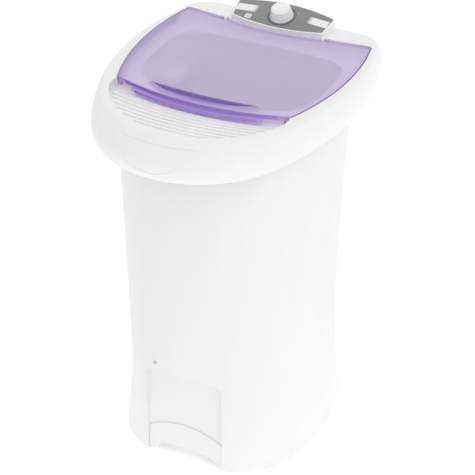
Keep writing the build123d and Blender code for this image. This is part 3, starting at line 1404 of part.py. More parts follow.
with BuildPart() as agitator_fins:
    with BuildSketch(Plane(origin=(0, TUB_CENTRE, AGITATOR_FOOT), x_dir=(1, 0, 0), z_dir=(0, -1, 0))):
        with BuildLine():
            Line((0, 0), (AGITATOR_RADIUS - AGITATOR_EDGE, 0))
            Line((AGITATOR_RADIUS - AGITATOR_EDGE, 0), (AGITATOR_RADIUS - AGITATOR_EDGE, 2 * AGITATOR_EDGE))
            ThreePointArc(
                (AGITATOR_RADIUS - AGITATOR_EDGE, 2 * AGITATOR_EDGE),
                (AGITATOR_RADIUS / 2, FIN_HEIGHT),
                (0, HUB_HEIGHT - CAP_HEIGHT),
            )
            Line((0, HUB_HEIGHT - CAP_HEIGHT), (0, 0))
        make_face()
    extrude(amount=FIN_WIDTH / 2, both=True)
    fin_tops = agitator_fins.faces().filter_by(GeomType.CYLINDER).edges().filter_by(GeomType.CIRCLE)
    fillet(fin_tops, FIN_ROUND)

with BuildPart() as agitator:
    add(agitator_disc)
    for k in range(FIN_COUNT):
        turn = Location(agitator_plane.location.position) * Location((0, 0, 0), (0, 0, 90 * k))
        back = Location(agitator_plane.location.position).inverse()
        add((turn * back) * agitator_fins.part)
    with BuildSketch(agitator_plane):
        Circle(HUB_RADIUS - HUB_WALL)
        Circle(SHAFT_COLLAR, mode=Mode.SUBTRACT)
    extrude(amount=HUB_HEIGHT / 2, taper=HUB_WALL * 2, mode=Mode.SUBTRACT)
    with BuildSketch(agitator_plane):
        Circle(SHAFT_RADIUS + RUNNING)
    extrude(amount=SHAFT_TOP - AGITATOR_FOOT, mode=Mode.SUBTRACT)
    with BuildSketch(shaft_plane.offset(SHAFT_TOP)):
        Circle(BOLT_RADIUS + CLEAR)
    extrude(amount=HUB_HEIGHT, mode=Mode.SUBTRACT)
    with BuildSketch(agitator_plane.offset(HUB_HEIGHT)):
        Circle(CAP_RADIUS - HUB_WALL)
    extrude(amount=-HUB_WALL, mode=Mode.SUBTRACT)

agitator.part.label = "agitator"
export_step(agitator.part, "parts/agitator.step")

with BuildPart() as agitator_cap:
    with BuildSketch(agitator_plane.offset(HUB_HEIGHT)):
        Circle(CAP_RADIUS)
    extrude(amount=CAP_HEIGHT)
    fillet(agitator_cap.faces().sort_by(Axis.Z)[-1].edges(), CAP_HEIGHT - SCREW_RADIUS)

agitator_cap.part.label = "agitator_cap"
export_step(agitator_cap.part, "parts/agitator_cap.step")

AGITATOR_SCREW_LENGTH = 24.0
screw_seat = AGITATOR_FOOT + HUB_HEIGHT - HUB_WALL
agitator_screw = screw(
    Plane(origin=(0, TUB_CENTRE, screw_seat), x_dir=(1, 0, 0), z_dir=(0, 0, -1)),
    AGITATOR_SCREW_LENGTH,
    BOLT_RADIUS,
    2 * BOLT_RADIUS,
)
agitator_screw.label = "agitator_screw"
export_step(agitator_screw, "parts/agitator_screw.step")

with BuildPart() as agitator_shaft:
    with BuildSketch(shaft_plane.offset(SHAFT_FOOT)):
        Circle(SHAFT_RADIUS)
    extrude(amount=SHAFT_TOP - SHAFT_FOOT)
    with BuildSketch(shaft_plane.offset(SHAFT_TOP)):
        Circle(BOLT_RADIUS + RUNNING)
    extrude(amount=-AGITATOR_SCREW_LENGTH, mode=Mode.SUBTRACT)
    chamfer(agitator_shaft.faces().sort_by(Axis.Z)[0].edges(), TIMER_TERMINAL[0])

agitator_shaft.part.label = "agitator_shaft"
export_step(agitator_shaft.part, "parts/agitator_shaft.step")

# Belt drive: grooved pulleys on the motor's and the agitator's shafts and the belt between them
GROOVE_TOP = 13.0
GROOVE_FOOT = 8.6
GROOVE_DEPTH = 8.0
RIM_FLANGE = 2.5
PULLEY_WEB = 4.0
PULLEY_HUB_RADIUS = 20.0
PULLEY_HOLES = 6
PULLEY_HOLE_RADIUS = 15.0
PULLEY_RIM = 6.0
BELT_TOP = 10.0
BELT_FOOT = 8.0
BELT_THICK = 6.0
pulley_half = GROOVE_TOP / 2 + RIM_FLANGE


def pulley_profile(radius, bore, rim, web):
    """Half of a grooved wheel's section: hub, web and rim."""
    groove_root = radius - GROOVE_DEPTH
    inner_rim = groove_root - rim
    return [
        (bore, -pulley_half),
        (PULLEY_HUB_RADIUS, -pulley_half),
        (PULLEY_HUB_RADIUS, -web / 2),
        (inner_rim, -web / 2),
        (inner_rim, -pulley_half),
        (radius, -pulley_half),
        (radius, -GROOVE_TOP / 2),
        (groove_root, -GROOVE_FOOT / 2),
        (groove_root, GROOVE_FOOT / 2),
        (radius, GROOVE_TOP / 2),
        (radius, pulley_half),
        (inner_rim, pulley_half),
        (inner_rim, web / 2),
        (PULLEY_HUB_RADIUS, web / 2),
        (PULLEY_HUB_RADIUS, pulley_half),
        (bore, pulley_half),
    ]


driven_disc = revolved(
    shaft_plane.offset(BELT_HEIGHT),
    pulley_profile(DRIVEN_RADIUS, SHAFT_RADIUS + RUNNING, PULLEY_RIM, PULLEY_WEB),
)

with BuildPart() as driven_pulley:
    add(driven_disc)
    with BuildSketch(shaft_plane.offset(BELT_HEIGHT - PULLEY_WEB)):
        with PolarLocations((DRIVEN_RADIUS + PULLEY_HUB_RADIUS - GROOVE_DEPTH - PULLEY_RIM) / 2, PULLEY_HOLES):
            Circle(PULLEY_HOLE_RADIUS)
    extrude(amount=2 * PULLEY_WEB, mode=Mode.SUBTRACT)

driven_pulley.part.label = "driven_pulley"
export_step(driven_pulley.part, "parts/driven_pulley.step")

PULLEY_NUT_ACROSS = 24.0
PULLEY_NUT_THICK = 7.0
pulley_nut = hexagon(
    shaft_plane.offset(BELT_HEIGHT - pulley_half - PULLEY_NUT_THICK),
    PULLEY_NUT_ACROSS,
    SHAFT_RADIUS + RUNNING,
    PULLEY_NUT_THICK,
)
pulley_nut.label = "pulley_nut"
export_step(pulley_nut, "parts/pulley_nut.step")

MOTOR_SHAFT_RADIUS = 6.0
motor_groove_root = MOTOR_PULLEY_RADIUS - GROOVE_DEPTH
motor_pulley = revolved(
    motor_plane.offset(BELT_HEIGHT),
    [
        (MOTOR_SHAFT_RADIUS + RUNNING, -pulley_half),
        (MOTOR_PULLEY_RADIUS, -pulley_half),
        (MOTOR_PULLEY_RADIUS, -GROOVE_TOP / 2),
        (motor_groove_root, -GROOVE_FOOT / 2),
        (motor_groove_root, GROOVE_FOOT / 2),
        (MOTOR_PULLEY_RADIUS, GROOVE_TOP / 2),
        (MOTOR_PULLEY_RADIUS, pulley_half),
        (MOTOR_SHAFT_RADIUS + RUNNING, pulley_half),
    ],
)
motor_pulley.label = "motor_pulley"
export_step(motor_pulley, "parts/motor_pulley.step")


def belt_band(height, foot_depth):
    """A band of the belt: the loop round both pulleys, from its back down to a depth in the grooves."""
    loops = []
    for depth in (GROOVE_DEPTH - CLEAR - BELT_THICK, foot_depth):
        with BuildSketch(Plane.XY.offset(BELT_HEIGHT - height / 2)) as loop:
            with Locations((0, TUB_CENTRE)):
                Circle(DRIVEN_RADIUS - depth)
            with Locations((0, motor_y)):
                Circle(MOTOR_PULLEY_RADIUS - depth)
            make_hull()
        loops.append(loop.sketch)
    with BuildPart() as band:
        extrude(loops[0], amount=height)
        extrude(loops[1], amount=height, mode=Mode.SUBTRACT)
    return band.part


with BuildPart() as belt_wedge:
    add(belt_band(BELT_FOOT, GROOVE_DEPTH - CLEAR))
    add(belt_band(BELT_TOP, GROOVE_DEPTH - BELT_THICK / 2))

drive_belt = belt_wedge.part
drive_belt.label = "drive_belt"
export_step(drive_belt, "parts/drive_belt.step")

# Motor: two pressed covers round a laminated stator, bolted through, hung on four grommets
MOTOR_RADIUS = 62.0
STATOR_RADIUS = 65.0
STATOR_FOOT = 337.0
STATOR_TOP = 377.0
MOTOR_FOOT = 313.0
MOTOR_TOP = 405.0
MOTOR_SHAFT_FOOT = 286.0
MOTOR_SHAFT_TOP = 396.0
ROTOR_RADIUS = 36.0
STATOR_BORE = 37.0
COVER_WALL = 3.0
COVER_DOME = 12.0
MOTOR_BOSS_RADIUS = 14.0
MOTOR_EAR = 11.0
MOTOR_FLANGE_THICK = 6.0
TIE_REACH = 57.0
TIE_RADIUS = 2.5
VENT_LENGTH = 16.0
VENT_WIDTH = 5.0
VENT_REACH = 36.0
VENT_COUNT = 8


def motor_cover_profile(rim, dome, top, bore):
    """Half section of a motor cover, from its open rim at height rim to its closed top."""
    way = 1 if top > rim else -1
    return [
        (MOTOR_RADIUS, rim),
        (MOTOR_RADIUS, dome),
        (MOTOR_RADIUS - COVER_DOME, top),
        (bore, top),
        (bore, top - way * 3 * COVER_WALL),
        (MOTOR_BOSS_RADIUS, top - way * 3 * COVER_WALL),
        (MOTOR_BOSS_RADIUS, top - way * COVER_WALL),
        (MOTOR_RADIUS - COVER_DOME - COVER_WALL / 2, top - way * COVER_WALL),
        (MOTOR_RADIUS - COVER_WALL, dome - way * COVER_WALL / 2),
        (MOTOR_RADIUS - COVER_WALL, rim),
    ]


upper_shell = revolved(
    motor_plane,
    motor_cover_profile(STATOR_TOP, MOTOR_TOP - COVER_DOME, MOTOR_TOP, MOTOR_SHAFT_RADIUS + RUNNING),
)
lower_shell = revolved(
    motor_plane,
    motor_cover_profile(STATOR_FOOT, MOTOR_FOOT + COVER_DOME, MOTOR_FOOT, MOTOR_SHAFT_RADIUS + RUNNING),
)

with BuildPart() as motor_upper_cover:
    add(upper_shell)
    # the flange whose ears hang on the grommets
    with BuildSketch(Plane.XY.offset(MOTOR_TOP)) as flange:
        with Locations((0, motor_y)):
            Rectangle(2 * (MOTOR_BOLT_REACH + MOTOR_EAR), 2 * (MOTOR_BOLT_SPREAD + MOTOR_EAR))
        fillet(flange.vertices(), MOTOR_EAR)
        with Locations(*motor_bolt_places):
            Circle(BOLT_RADIUS + CLEAR, mode=Mode.SUBTRACT)
    extrude(amount=MOTOR_FLANGE_THICK)
    with BuildSketch(motor_plane.offset(STATOR_TOP)):
        with PolarLocations(TIE_REACH, 4, start_angle=45):
            Circle(TIE_RADIUS + 2 * COVER_WALL)
    extrude(amount=COVER_DOME)
    with BuildSketch(motor_plane.offset(STATOR_TOP - OVERRUN)):
        with PolarLocations(TIE_REACH, 4, start_angle=45):
            Circle(TIE_RADIUS + RUNNING)
    extrude(amount=COVER_DOME + OVERRUN, mode=Mode.SUBTRACT)

motor_upper_cover.part.label = "motor_upper_cover"
export_step(motor_upper_cover.part, "parts/motor_upper_cover.step")

with BuildPart() as motor_lower_cover:
    add(lower_shell)
    with BuildSketch(motor_plane.offset(MOTOR_FOOT)):
        with PolarLocations(VENT_REACH, VENT_COUNT):
            SlotOverall(VENT_LENGTH, VENT_WIDTH)
    extrude(amount=COVER_DOME, mode=Mode.SUBTRACT)
    with BuildSketch(motor_plane.offset(STATOR_FOOT)):
        with PolarLocations(TIE_REACH, 4, start_angle=45):
            Circle(TIE_RADIUS + 2 * COVER_WALL)
    extrude(amount=-COVER_DOME)
    with BuildSketch(motor_plane.offset(STATOR_FOOT + OVERRUN)):
        with PolarLocations(TIE_REACH, 4, start_angle=45):
            Circle(TIE_RADIUS + RUNNING)
    extrude(amount=-COVER_DOME - 2 * OVERRUN, mode=Mode.SUBTRACT)
    # room for the heads of the tie bolts
    with BuildSketch(motor_plane.offset(STATOR_FOOT - COVER_DOME)):
        with PolarLocations(TIE_REACH, 4, start_angle=45):
            Circle(FLANGE_BOLT_HEAD / 2 + 4 * CLEAR)
    extrude(amount=-COVER_DOME, mode=Mode.SUBTRACT)

motor_lower_cover.part.label = "motor_lower_cover"
export_step(motor_lower_cover.part, "parts/motor_lower_cover.step")

with BuildPart() as motor_stator:
    with BuildSketch(motor_plane.offset(STATOR_FOOT)):
        Circle(STATOR_RADIUS)
        Circle(STATOR_BORE, mode=Mode.SUBTRACT)
        with PolarLocations(TIE_REACH, 4, start_angle=45):
            Circle(TIE_RADIUS + RUNNING, mode=Mode.SUBTRACT)
    extrude(amount=STATOR_TOP - STATOR_FOOT)

motor_stator.part.label = "motor_stator"
export_step(motor_stator.part, "parts/motor_stator.step")

with BuildPart() as motor_shaft:
    with BuildSketch(motor_plane.offset(MOTOR_SHAFT_FOOT)):
        Circle(MOTOR_SHAFT_RADIUS)
    extrude(amount=MOTOR_SHAFT_TOP - MOTOR_SHAFT_FOOT + COVER_WALL)
    with BuildSketch(motor_plane.offset(STATOR_FOOT)):
        Circle(ROTOR_RADIUS)
    extrude(amount=STATOR_TOP - STATOR_FOOT)

motor_shaft.part.label = "motor_shaft"
export_step(motor_shaft.part, "parts/motor_shaft.step")

tie_places = [
    (way_x * TIE_REACH * cos(radians(45)), motor_y + way_y * TIE_REACH * sin(radians(45)))
    for way_x in (-1, 1)
    for way_y in (-1, 1)
]
tie_bolts = Compound(
    children=[
        bolt(Plane(origin=(x, y, STATOR_FOOT - COVER_DOME)), STATOR_TOP - STATOR_FOOT + 2 * COVER_DOME - COVER_WALL)
        for x, y in tie_places
    ]
)
tie_bolts.label = "motor_tie_bolts"
export_step(tie_bolts, "parts/motor_tie_bolts.step")

grommet_foot = MOTOR_TOP + MOTOR_FLANGE_THICK
grommets = Compound(
    children=[
        ring(Plane(origin=(x, y, grommet_foot)), GROMMET_RADIUS, BOLT_RADIUS + CLEAR, GROMMET_HEIGHT)
        for x, y in motor_bolt_places
    ]
)
grommets.label = "motor_grommets"
export_step(grommets, "parts/motor_grommets.step")

MOTOR_BOLT_LENGTH = 22.0
motor_bolts = Compound(
    children=[bolt(Plane(origin=(x, y, MOTOR_TOP)), MOTOR_BOLT_LENGTH) for x, y in motor_bolt_places]
)
motor_bolts.label = "motor_bolts"
export_step(motor_bolts, "parts/motor_bolts.step")

motor_nuts = Compound(
    children=[
        hexagon(Plane(origin=(x, y, BRACKET_TOP)), FLANGE_BOLT_HEAD, BOLT_RADIUS + RUNNING, SCREW_HEAD_RADIUS)
        for x, y in motor_bolt_places
    ]
)
motor_nuts.label = "motor_nuts"
export_step(motor_nuts, "parts/motor_nuts.step")

# Capacitor: a can with a domed top and two terminals, held by a clip on the post behind the front screw
CAN_RADIUS = 20.0
CAN_HEIGHT = 70.0
CAN_ROUND = 2.0
CLIP_THICK = 1.2
CLIP_HEIGHT = 20.0
CLIP_OPENING = 24.0
CLIP_BLOCK = 4.2
CLIP_SET = 6.0
TERMINAL_RADIUS = 1.6
TERMINAL_REACH = 8.0
FRONT_SCREW_LENGTH = 13.0
can_y = -CLIP_BOSS_FACE + CLIP_BLOCK + CAN_RADIUS
can_foot = CLIP_SCREW_Z - CLIP_HEIGHT / 2 - CLIP_SET
can_plane = Plane(origin=(CLIP_SCREW_X, can_y, can_foot), x_dir=(1, 0, 0), z_dir=(0, 0, 1))

with BuildPart() as capacitor:
    with BuildSketch(can_plane):
        Circle(CAN_RADIUS)
    extrude(amount=CAN_HEIGHT)
    fillet(capacitor.edges().filter_by(GeomType.CIRCLE), CAN_ROUND)
    with BuildSketch(can_plane.offset(CAN_HEIGHT)):
        with Locations((-CAN_RADIUS / 3, 0), (CAN_RADIUS / 3, 0)):
            Circle(TERMINAL_RADIUS)
    extrude(amount=TERMINAL_REACH)

capacitor.part.label = "capacitor"
export_step(capacitor.part, "parts/capacitor.step")

with BuildPart() as capacitor_clip:
    with BuildSketch(can_plane.offset(CLIP_SET)):
        Circle(CAN_RADIUS + RUNNING + CLIP_THICK)
        with Locations((0, -CAN_RADIUS - CLIP_BLOCK)):
            Rectangle(CLIP_HEIGHT, 2 * CLIP_BLOCK, align=(Align.CENTER, Align.MIN))
        Circle(CAN_RADIUS + RUNNING, mode=Mode.SUBTRACT)
        with Locations((0, CAN_RADIUS)):
            Rectangle(CLIP_OPENING, CAN_RADIUS, mode=Mode.SUBTRACT)
    extrude(amount=CLIP_HEIGHT)
    with BuildSketch(Plane(origin=(CLIP_SCREW_X, -CLIP_BOSS_FACE, CLIP_SCREW_Z), x_dir=(1, 0, 0), z_dir=(0, 1, 0))):
        Circle(SCREW_RADIUS + RUNNING)
    extrude(amount=CLIP_BLOCK, mode=Mode.SUBTRACT)

capacitor_clip.part.label = "capacitor_clip"
export_step(capacitor_clip.part, "parts/capacitor_clip.step")

front_screw = screw(
    Plane(origin=(CLIP_SCREW_X, screw_seat_y, CLIP_SCREW_Z), x_dir=(1, 0, 0), z_dir=(0, 1, 0)),
    FRONT_SCREW_LENGTH,
)
front_screw.label = "front_screw"
export_step(front_screw, "parts/front_screw.step")

# Drain: a hose from the tub's spigot down to a spigot through the back wall, with two clamps
HOSE_RADIUS = 15.0
HOSE_TOP = 431.0
HOSE_BEND = 60.0
HOSE_END = 238.0
OUTLET_INNER = 227.0
OUTLET_REACH = 34.0
OUTLET_BORE = 9.0
COLLAR_RADIUS = 19.0
COLLAR_THICK = 4.0
CLAMP_WIDTH = 9.0
CLAMP_THICK = 1.0
CLAMP_EAR = (6.0, 9.0)
hose_bore = OUTLET_RADIUS + RUNNING
bend_set = HOSE_BEND * (1 - cos(radians(45)))
hose_top_plane = Plane(origin=(SPIGOT_X, SPIGOT_Y, HOSE_TOP), x_dir=(1, 0, 0), z_dir=(0, 0, -1))
outlet_plane = Plane(origin=(OUTLET_X, OUTLET_INNER, OUTLET_Z), x_dir=(1, 0, 0), z_dir=(0, 1, 0))

with BuildPart() as drain_hose:
    with BuildLine():
        Line((SPIGOT_X, SPIGOT_Y, HOSE_TOP), (SPIGOT_X, SPIGOT_Y, OUTLET_Z + HOSE_BEND))
        ThreePointArc(
            (SPIGOT_X, SPIGOT_Y, OUTLET_Z + HOSE_BEND),
            (SPIGOT_X, SPIGOT_Y + bend_set, OUTLET_Z + bend_set),
            (SPIGOT_X, SPIGOT_Y + HOSE_BEND, OUTLET_Z),
        )
        Line((SPIGOT_X, SPIGOT_Y + HOSE_BEND, OUTLET_Z), (SPIGOT_X, HOSE_END, OUTLET_Z))
    with BuildSketch(hose_top_plane):
        Circle(HOSE_RADIUS)
        Circle(hose_bore, mode=Mode.SUBTRACT)
    sweep()

drain_hose.part.label = "drain_hose"
export_step(drain_hose.part, "parts/drain_hose.step")

outlet_length = back_face - OUTLET_INNER + OUTLET_REACH
with BuildPart() as drain_outlet:
    with BuildSketch(outlet_plane):
        Circle(OUTLET_RADIUS)
    extrude(amount=outlet_length)
    # collar outside the back wall, nut inside it
    with BuildSketch(outlet_plane.offset(back_face + CLEAR - OUTLET_INNER)):
        Circle(COLLAR_RADIUS)
    extrude(amount=COLLAR_THICK)
    fillet(drain_outlet.faces().sort_by(Axis.Y)[-1].edges(), SPIGOT_WALL / 3)
    with BuildSketch(outlet_plane):
        Circle(OUTLET_BORE)
    extrude(amount=outlet_length, mode=Mode.SUBTRACT)

drain_outlet.part.label = "drain_outlet"
export_step(drain_outlet.part, "parts/drain_outlet.step")

outlet_nut = hexagon(
    outlet_plane.offset(back_face - BACK_PAD_THICK - COLLAR_THICK - OUTLET_INNER),
    2 * COLLAR_RADIUS,
    OUTLET_RADIUS + RUNNING,
    COLLAR_THICK,
)
outlet_nut.label = "outlet_nut"
export_step(outlet_nut, "parts/outlet_nut.step")


def clamp(plane):
    """A band clamp with a screw ear, on a plane across the hose."""
    with BuildPart() as one:
        with BuildSketch(plane):
            Circle(HOSE_RADIUS + RUNNING + CLAMP_THICK)
            with Locations((HOSE_RADIUS + CLAMP_EAR[0] / 2, 0)):
                Rectangle(CLAMP_EAR[0], CLAMP_EAR[1])
            Circle(HOSE_RADIUS + RUNNING, mode=Mode.SUBTRACT)
        extrude(amount=CLAMP_WIDTH)
    return one.part


hose_clamps = Compound(
    children=[
        clamp(hose_top_plane.offset(CLAMP_THICK + OVERRUN)),
        clamp(outlet_plane.offset(CLAMP_THICK)),
    ]
)
hose_clamps.label = "hose_clamps"
export_step(hose_clamps, "parts/hose_clamps.step")

# Cord gland: a collared bush in the back wall
GLAND_BORE = 3.8
GLAND_COLLAR = 12.0
GLAND_REACH = 14.0
gland_plane = Plane(origin=(GLAND_X, back_face + CLEAR, GLAND_Z), x_dir=(1, 0, 0), z_dir=(0, 1, 0))

with BuildPart() as cord_gland:
    with BuildSketch(gland_plane.offset(-GLAND_REACH)):
        Circle(GLAND_RADIUS)
    extrude(amount=GLAND_REACH)
    with BuildSketch(gland_plane):
        Circle(GLAND_COLLAR)
    extrude(amount=COLLAR_THICK)
    fillet(cord_gland.faces().sort_by(Axis.Y)[-1].edges(), CLAMP_THICK)
    with BuildSketch(gland_plane.offset(COLLAR_THICK)):
        Circle(GLAND_BORE + COLLAR_THICK / 2)
    extrude(amount=GLAND_REACH / 2)
    with BuildSketch(gland_plane.offset(-GLAND_REACH)):
        Circle(GLAND_BORE)
    extrude(amount=2 * GLAND_REACH, mode=Mode.SUBTRACT)

cord_gland.part.label = "cord_gland"
export_step(cord_gland.part, "parts/cord_gland.step")

# Screws that join the housing to the cabinet's lip, and those of the base cover
HOUSING_SCREW_LENGTH = 2 * WALL + BOSS_HOLE_DEPTH - CLEAR
housing_screws = screws(
    [shifted(deck, x=x, y=y, z=-LIP_DROP - WALL) for x, y in housing_screw_places],
    HOUSING_SCREW_LENGTH,
)
housing_screws.label = "housing_screws"
export_step(housing_screws, "parts/housing_screws.step")

cover_screws = screws(
    [
        Plane(origin=(x, y, COVER_HEIGHT + COVER_THICK), x_dir=(1, 0, 0), z_dir=(0, 0, -1))
        for x, y in cover_post_places
    ],
    COVER_SCREW_LENGTH,
)
cover_screws.label = "cover_screws"
export_step(cover_screws, "parts/cover_screws.step")
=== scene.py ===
import json
import math

import bmesh
import bpy
from mathutils import Matrix, Vector

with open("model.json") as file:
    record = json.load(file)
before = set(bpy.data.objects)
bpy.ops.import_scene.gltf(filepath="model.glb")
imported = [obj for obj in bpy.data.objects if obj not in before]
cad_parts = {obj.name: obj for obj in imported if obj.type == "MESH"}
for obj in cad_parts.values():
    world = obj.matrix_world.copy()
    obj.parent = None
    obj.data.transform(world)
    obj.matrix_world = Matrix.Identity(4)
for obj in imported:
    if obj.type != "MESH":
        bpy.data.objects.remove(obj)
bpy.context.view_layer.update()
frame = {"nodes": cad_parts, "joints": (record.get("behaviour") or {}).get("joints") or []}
nodes = frame["nodes"]


# Cabinet
# One tall white moulding with a waist and a flared foot. Glossy polypropylene: the skin shows a very
# fine texture, faint flow marks drawn out up the walls, and a little dust where the foot meets the floor.
class Field:
    """A socket in a material's node tree that can be used like a number."""

    def __init__(self, tree, socket):
        self.tree = tree
        self.socket = socket

    def node(self, kind, inputs=None, output=0, **settings):
        """Any other node: its settings first, then fields linked to its inputs and plain values set."""
        made = self.tree.nodes.new(kind)
        for key, value in settings.items():
            setattr(made, key, value)
        for key, value in (inputs or {}).items():
            feed(self.tree, made.inputs[key], value)
        return Field(self.tree, made.outputs[output])

    def number(self, operation, first, second=0.0):
        return self.node("ShaderNodeMath", {0: first, 1: second}, operation=operation)

    def __add__(self, other):
        return self.number("ADD", self, other)

    __radd__ = __add__

    def __sub__(self, other):
        return self.number("SUBTRACT", self, other)

    def __rsub__(self, other):
        return self.number("SUBTRACT", other, self)

    def __mul__(self, other):
        return self.number("MULTIPLY", self, other)

    __rmul__ = __mul__

    def __abs__(self):
        return self.number("ABSOLUTE", self)

    def larger(self, other):
        return self.number("MAXIMUM", self, other)

    def step(self, low, high):
        """0 below low, 1 above high, smooth between; low may be the larger."""
        return self.node(
            "ShaderNodeMapRange",
            {"Value": self, "From Min": low, "From Max": high},
            interpolation_type="SMOOTHSTEP",
        )

    def noise(self, scale, detail=3.0, roughness=0.5, stretch=(1.0, 1.0, 1.0)):
        """A noise around 0.5 over this vector, its features 1/scale metres across."""
        place = self.node("ShaderNodeVectorMath", {0: self, 1: stretch}, operation="MULTIPLY")
        return place.node(
            "ShaderNodeTexNoise", {"Vector": place, "Scale": scale, "Detail": detail, "Roughness": roughness}
        )

    def pick(self, low, high):
        """The colour low where this is 0 and high where it is 1."""
        return self.node("ShaderNodeMix", {0: self, 6: rgba(low), 7: rgba(high)}, 2, data_type="RGBA")

    def part(self, axis):
        """One coordinate of this vector, by its letter."""
        return self.node("ShaderNodeSeparateXYZ", {0: self}, "XYZ".index(axis))


def rgba(colour):
    return colour if isinstance(colour, Field) else (*colour, 1.0)


def feed(tree, socket, value):
    if isinstance(value, Field):
        tree.links.new(value.socket, socket)
    else:
        socket.default_value = value


class Finish:
    """A material with one principled shader, set by socket name."""

    def __init__(self, name):
        self.material = bpy.data.materials.new(name)
        self.material.use_nodes = True
        self.tree = self.material.node_tree
        self.tree.nodes.clear()
        self.output = self.tree.nodes.new("ShaderNodeOutputMaterial")
        self.shader = self.tree.nodes.new("ShaderNodeBsdfPrincipled")
        self.tree.links.new(self.shader.outputs[0], self.output.inputs[0])
        self.place = Field(self.tree, self.tree.nodes.new("ShaderNodeTexCoord").outputs["Object"])

    def set(self, **values):
        for key, value in values.items():
            feed(self.tree, self.shader.inputs[key.replace("_", " ")], value)
        return self

    def bump(self, height, depth):
        """Relief: height in 0 to 1, times depth in metres."""
        relief = height.node("ShaderNodeBump", {"Distance": depth, "Height": height})
        return self.set(Normal=relief)

    def dress(self, *names):
        """Puts this finish on CAD nodes."""
        for name in names:
            for item in nodes[name].material_slots:
                item.material = self.material
            if not nodes[name].material_slots:
                nodes[name].data.materials.append(self.material)
        return self


PLASTIC_IOR = 1.49


def moulded(name, colour, roughness, grain=1400.0, relief=0.00002, wander=0.02):
    """Moulded plastic: a skin of fine grain, slow changes of tone and a little uneven gloss."""
    gloss_swing = 0.08
    made = Finish(name)
    slow = made.place.noise(6.0, 2.0)
    low = tuple(max(c - wander, 0.0) for c in colour)
    high = tuple(min(c + wander, 1.0) for c in colour)
    made.set(
        Base_Color=slow.step(0.3, 0.7).pick(low, high),
        Roughness=made.place.noise(40.0).step(0.2, 0.8) * gloss_swing + (roughness - gloss_swing / 2),
        IOR=PLASTIC_IOR,
    )
    return made.bump(made.place.noise(grain, 2.0), relief)


cabinet_white = (0.87, 0.87, 0.872)
flow_dark = (0.862, 0.862, 0.865)
flow_pale = (0.878, 0.878, 0.88)
dust_grey = (0.6, 0.58, 0.55)
dust_height = 0.03
dust_cover = 0.25
cabinet_finish = moulded("cabinet_white", cabinet_white, 0.36, wander=0.008)
low_down = cabinet_finish.place.part("Z").step(dust_height, 0.0)
foot_dust = low_down * cabinet_finish.place.noise(30.0, 5.0).step(0.45, 0.75) * dust_cover
flow = cabinet_finish.place.noise(9.0, 4.0, 0.6, (1.0, 1.0, 0.15)).step(0.35, 0.7)
cabinet_finish.set(Base_Color=foot_dust.pick(flow.pick(flow_dark, flow_pale), dust_grey))
cabinet_finish.dress("cabinet")

# Base cover
# A slotted grey plate screwed on the foot's posts from above, closing the underside. Its skin is
# rougher than the cabinet's and it gathers lint round the slots.
cover_grey = (0.5, 0.51, 0.52)
lint_grey = (0.66, 0.65, 0.63)
cover_finish = moulded("cover_grey", cover_grey, 0.5, grain=700.0, relief=0.00006)
lint = cover_finish.place.noise(60.0, 6.0, 0.7).step(0.5, 0.8) * 0.4
cover_finish.set(Base_Color=lint.pick(cover_grey, lint_grey)).dress("base_cover")

# Wash tub
# The tapered white moulding that holds the water, hung by its flange between cabinet and housing.
# Wet washing keeps its skin smooth; a faint tide line runs round it below the mouth.
tub_white = (0.92, 0.92, 0.93)
tide_grey = (0.8, 0.81, 0.82)
tide_low = 0.71
tide_high = 0.727
tide_edge = 0.005
tide_strength = 0.2
tub_finish = moulded("tub_white", tub_white, 0.34, grain=900.0, wander=0.01)
wavy_height = tub_finish.place.part("Z") + tub_finish.place.noise(12.0) * 0.01
tide = wavy_height.step(tide_low, tide_low + tide_edge) * wavy_height.step(tide_high, tide_high - tide_edge)
tub_finish.set(Base_Color=(tide * tide_strength).pick(tub_white, tide_grey)).dress("wash_tub")

# Drain grille
# A small slotted disc over the drain hole, moulded in one with the neck that is pushed into the
# spigot.
moulded("grille_white", (0.8, 0.8, 0.83), 0.4).dress("drain_grille")

# Lint filter
# A moulded white frame with a grid of windows that slides up out of two rails, and a woven nylon
# mesh held behind it.
moulded("filter_white", (0.85, 0.85, 0.88), 0.38).dress("filter_frame")
thread_shadow = (0.45, 0.45, 0.5)
thread_pale = (0.85, 0.85, 0.9)
threads_per_metre = 5200.0
mesh_finish = Finish("filter_nylon")
weft = mesh_finish.place.part("Y") * threads_per_metre
warp = mesh_finish.place.part("Z") * threads_per_metre
weave = weft.number("SINE", weft) * 0.25 + warp.number("SINE", warp) * 0.25 + 0.5
mesh_finish.set(Base_Color=weave.step(0.3, 0.7).pick(thread_shadow, thread_pale), Roughness=0.6)
mesh_finish.bump(weave, 0.0002).dress("filter_mesh")


# Bearing housing, bushes, seal and gasket
# A turned aluminium barrel under the tub's floor carries the agitator's shaft in two bronze bushes;
# a rubber seal and a gasket keep the water in, and a moulded ring nut clamps the floor.
def metal(name, colour, roughness, stretch=(1.0, 1.0, 60.0), scale=40.0):
    """Metal with fine marks: they run across the direction in which the noise is stretched."""
    gloss_swing = 0.16
    made = Finish(name)
    marks = made.place.noise(scale, 4.0, 0.6, stretch)
    dark = tuple(c * 0.86 for c in colour)
    made.set(
        Base_Color=made.place.noise(25.0, 4.0).step(0.35, 0.75).pick(dark, colour),
        Roughness=marks * gloss_swing + (roughness - gloss_swing / 2),
        Metallic=1.0,
    )
    return made.bump(marks, 0.00004)


def rubber(name, colour=(0.035, 0.035, 0.037), roughness=0.75):
    """Rubber: matt, with a faint bloom."""
    made = Finish(name)
    bloom = made.place.noise(80.0, 5.0, 0.6).step(0.5, 0.9) * 0.3
    pale = tuple(c + 0.08 for c in colour)
    made.set(Base_Color=bloom.pick(colour, pale), Roughness=bloom * 0.2 + roughness)
    return made.bump(made.place.noise(1800.0), 0.00003)


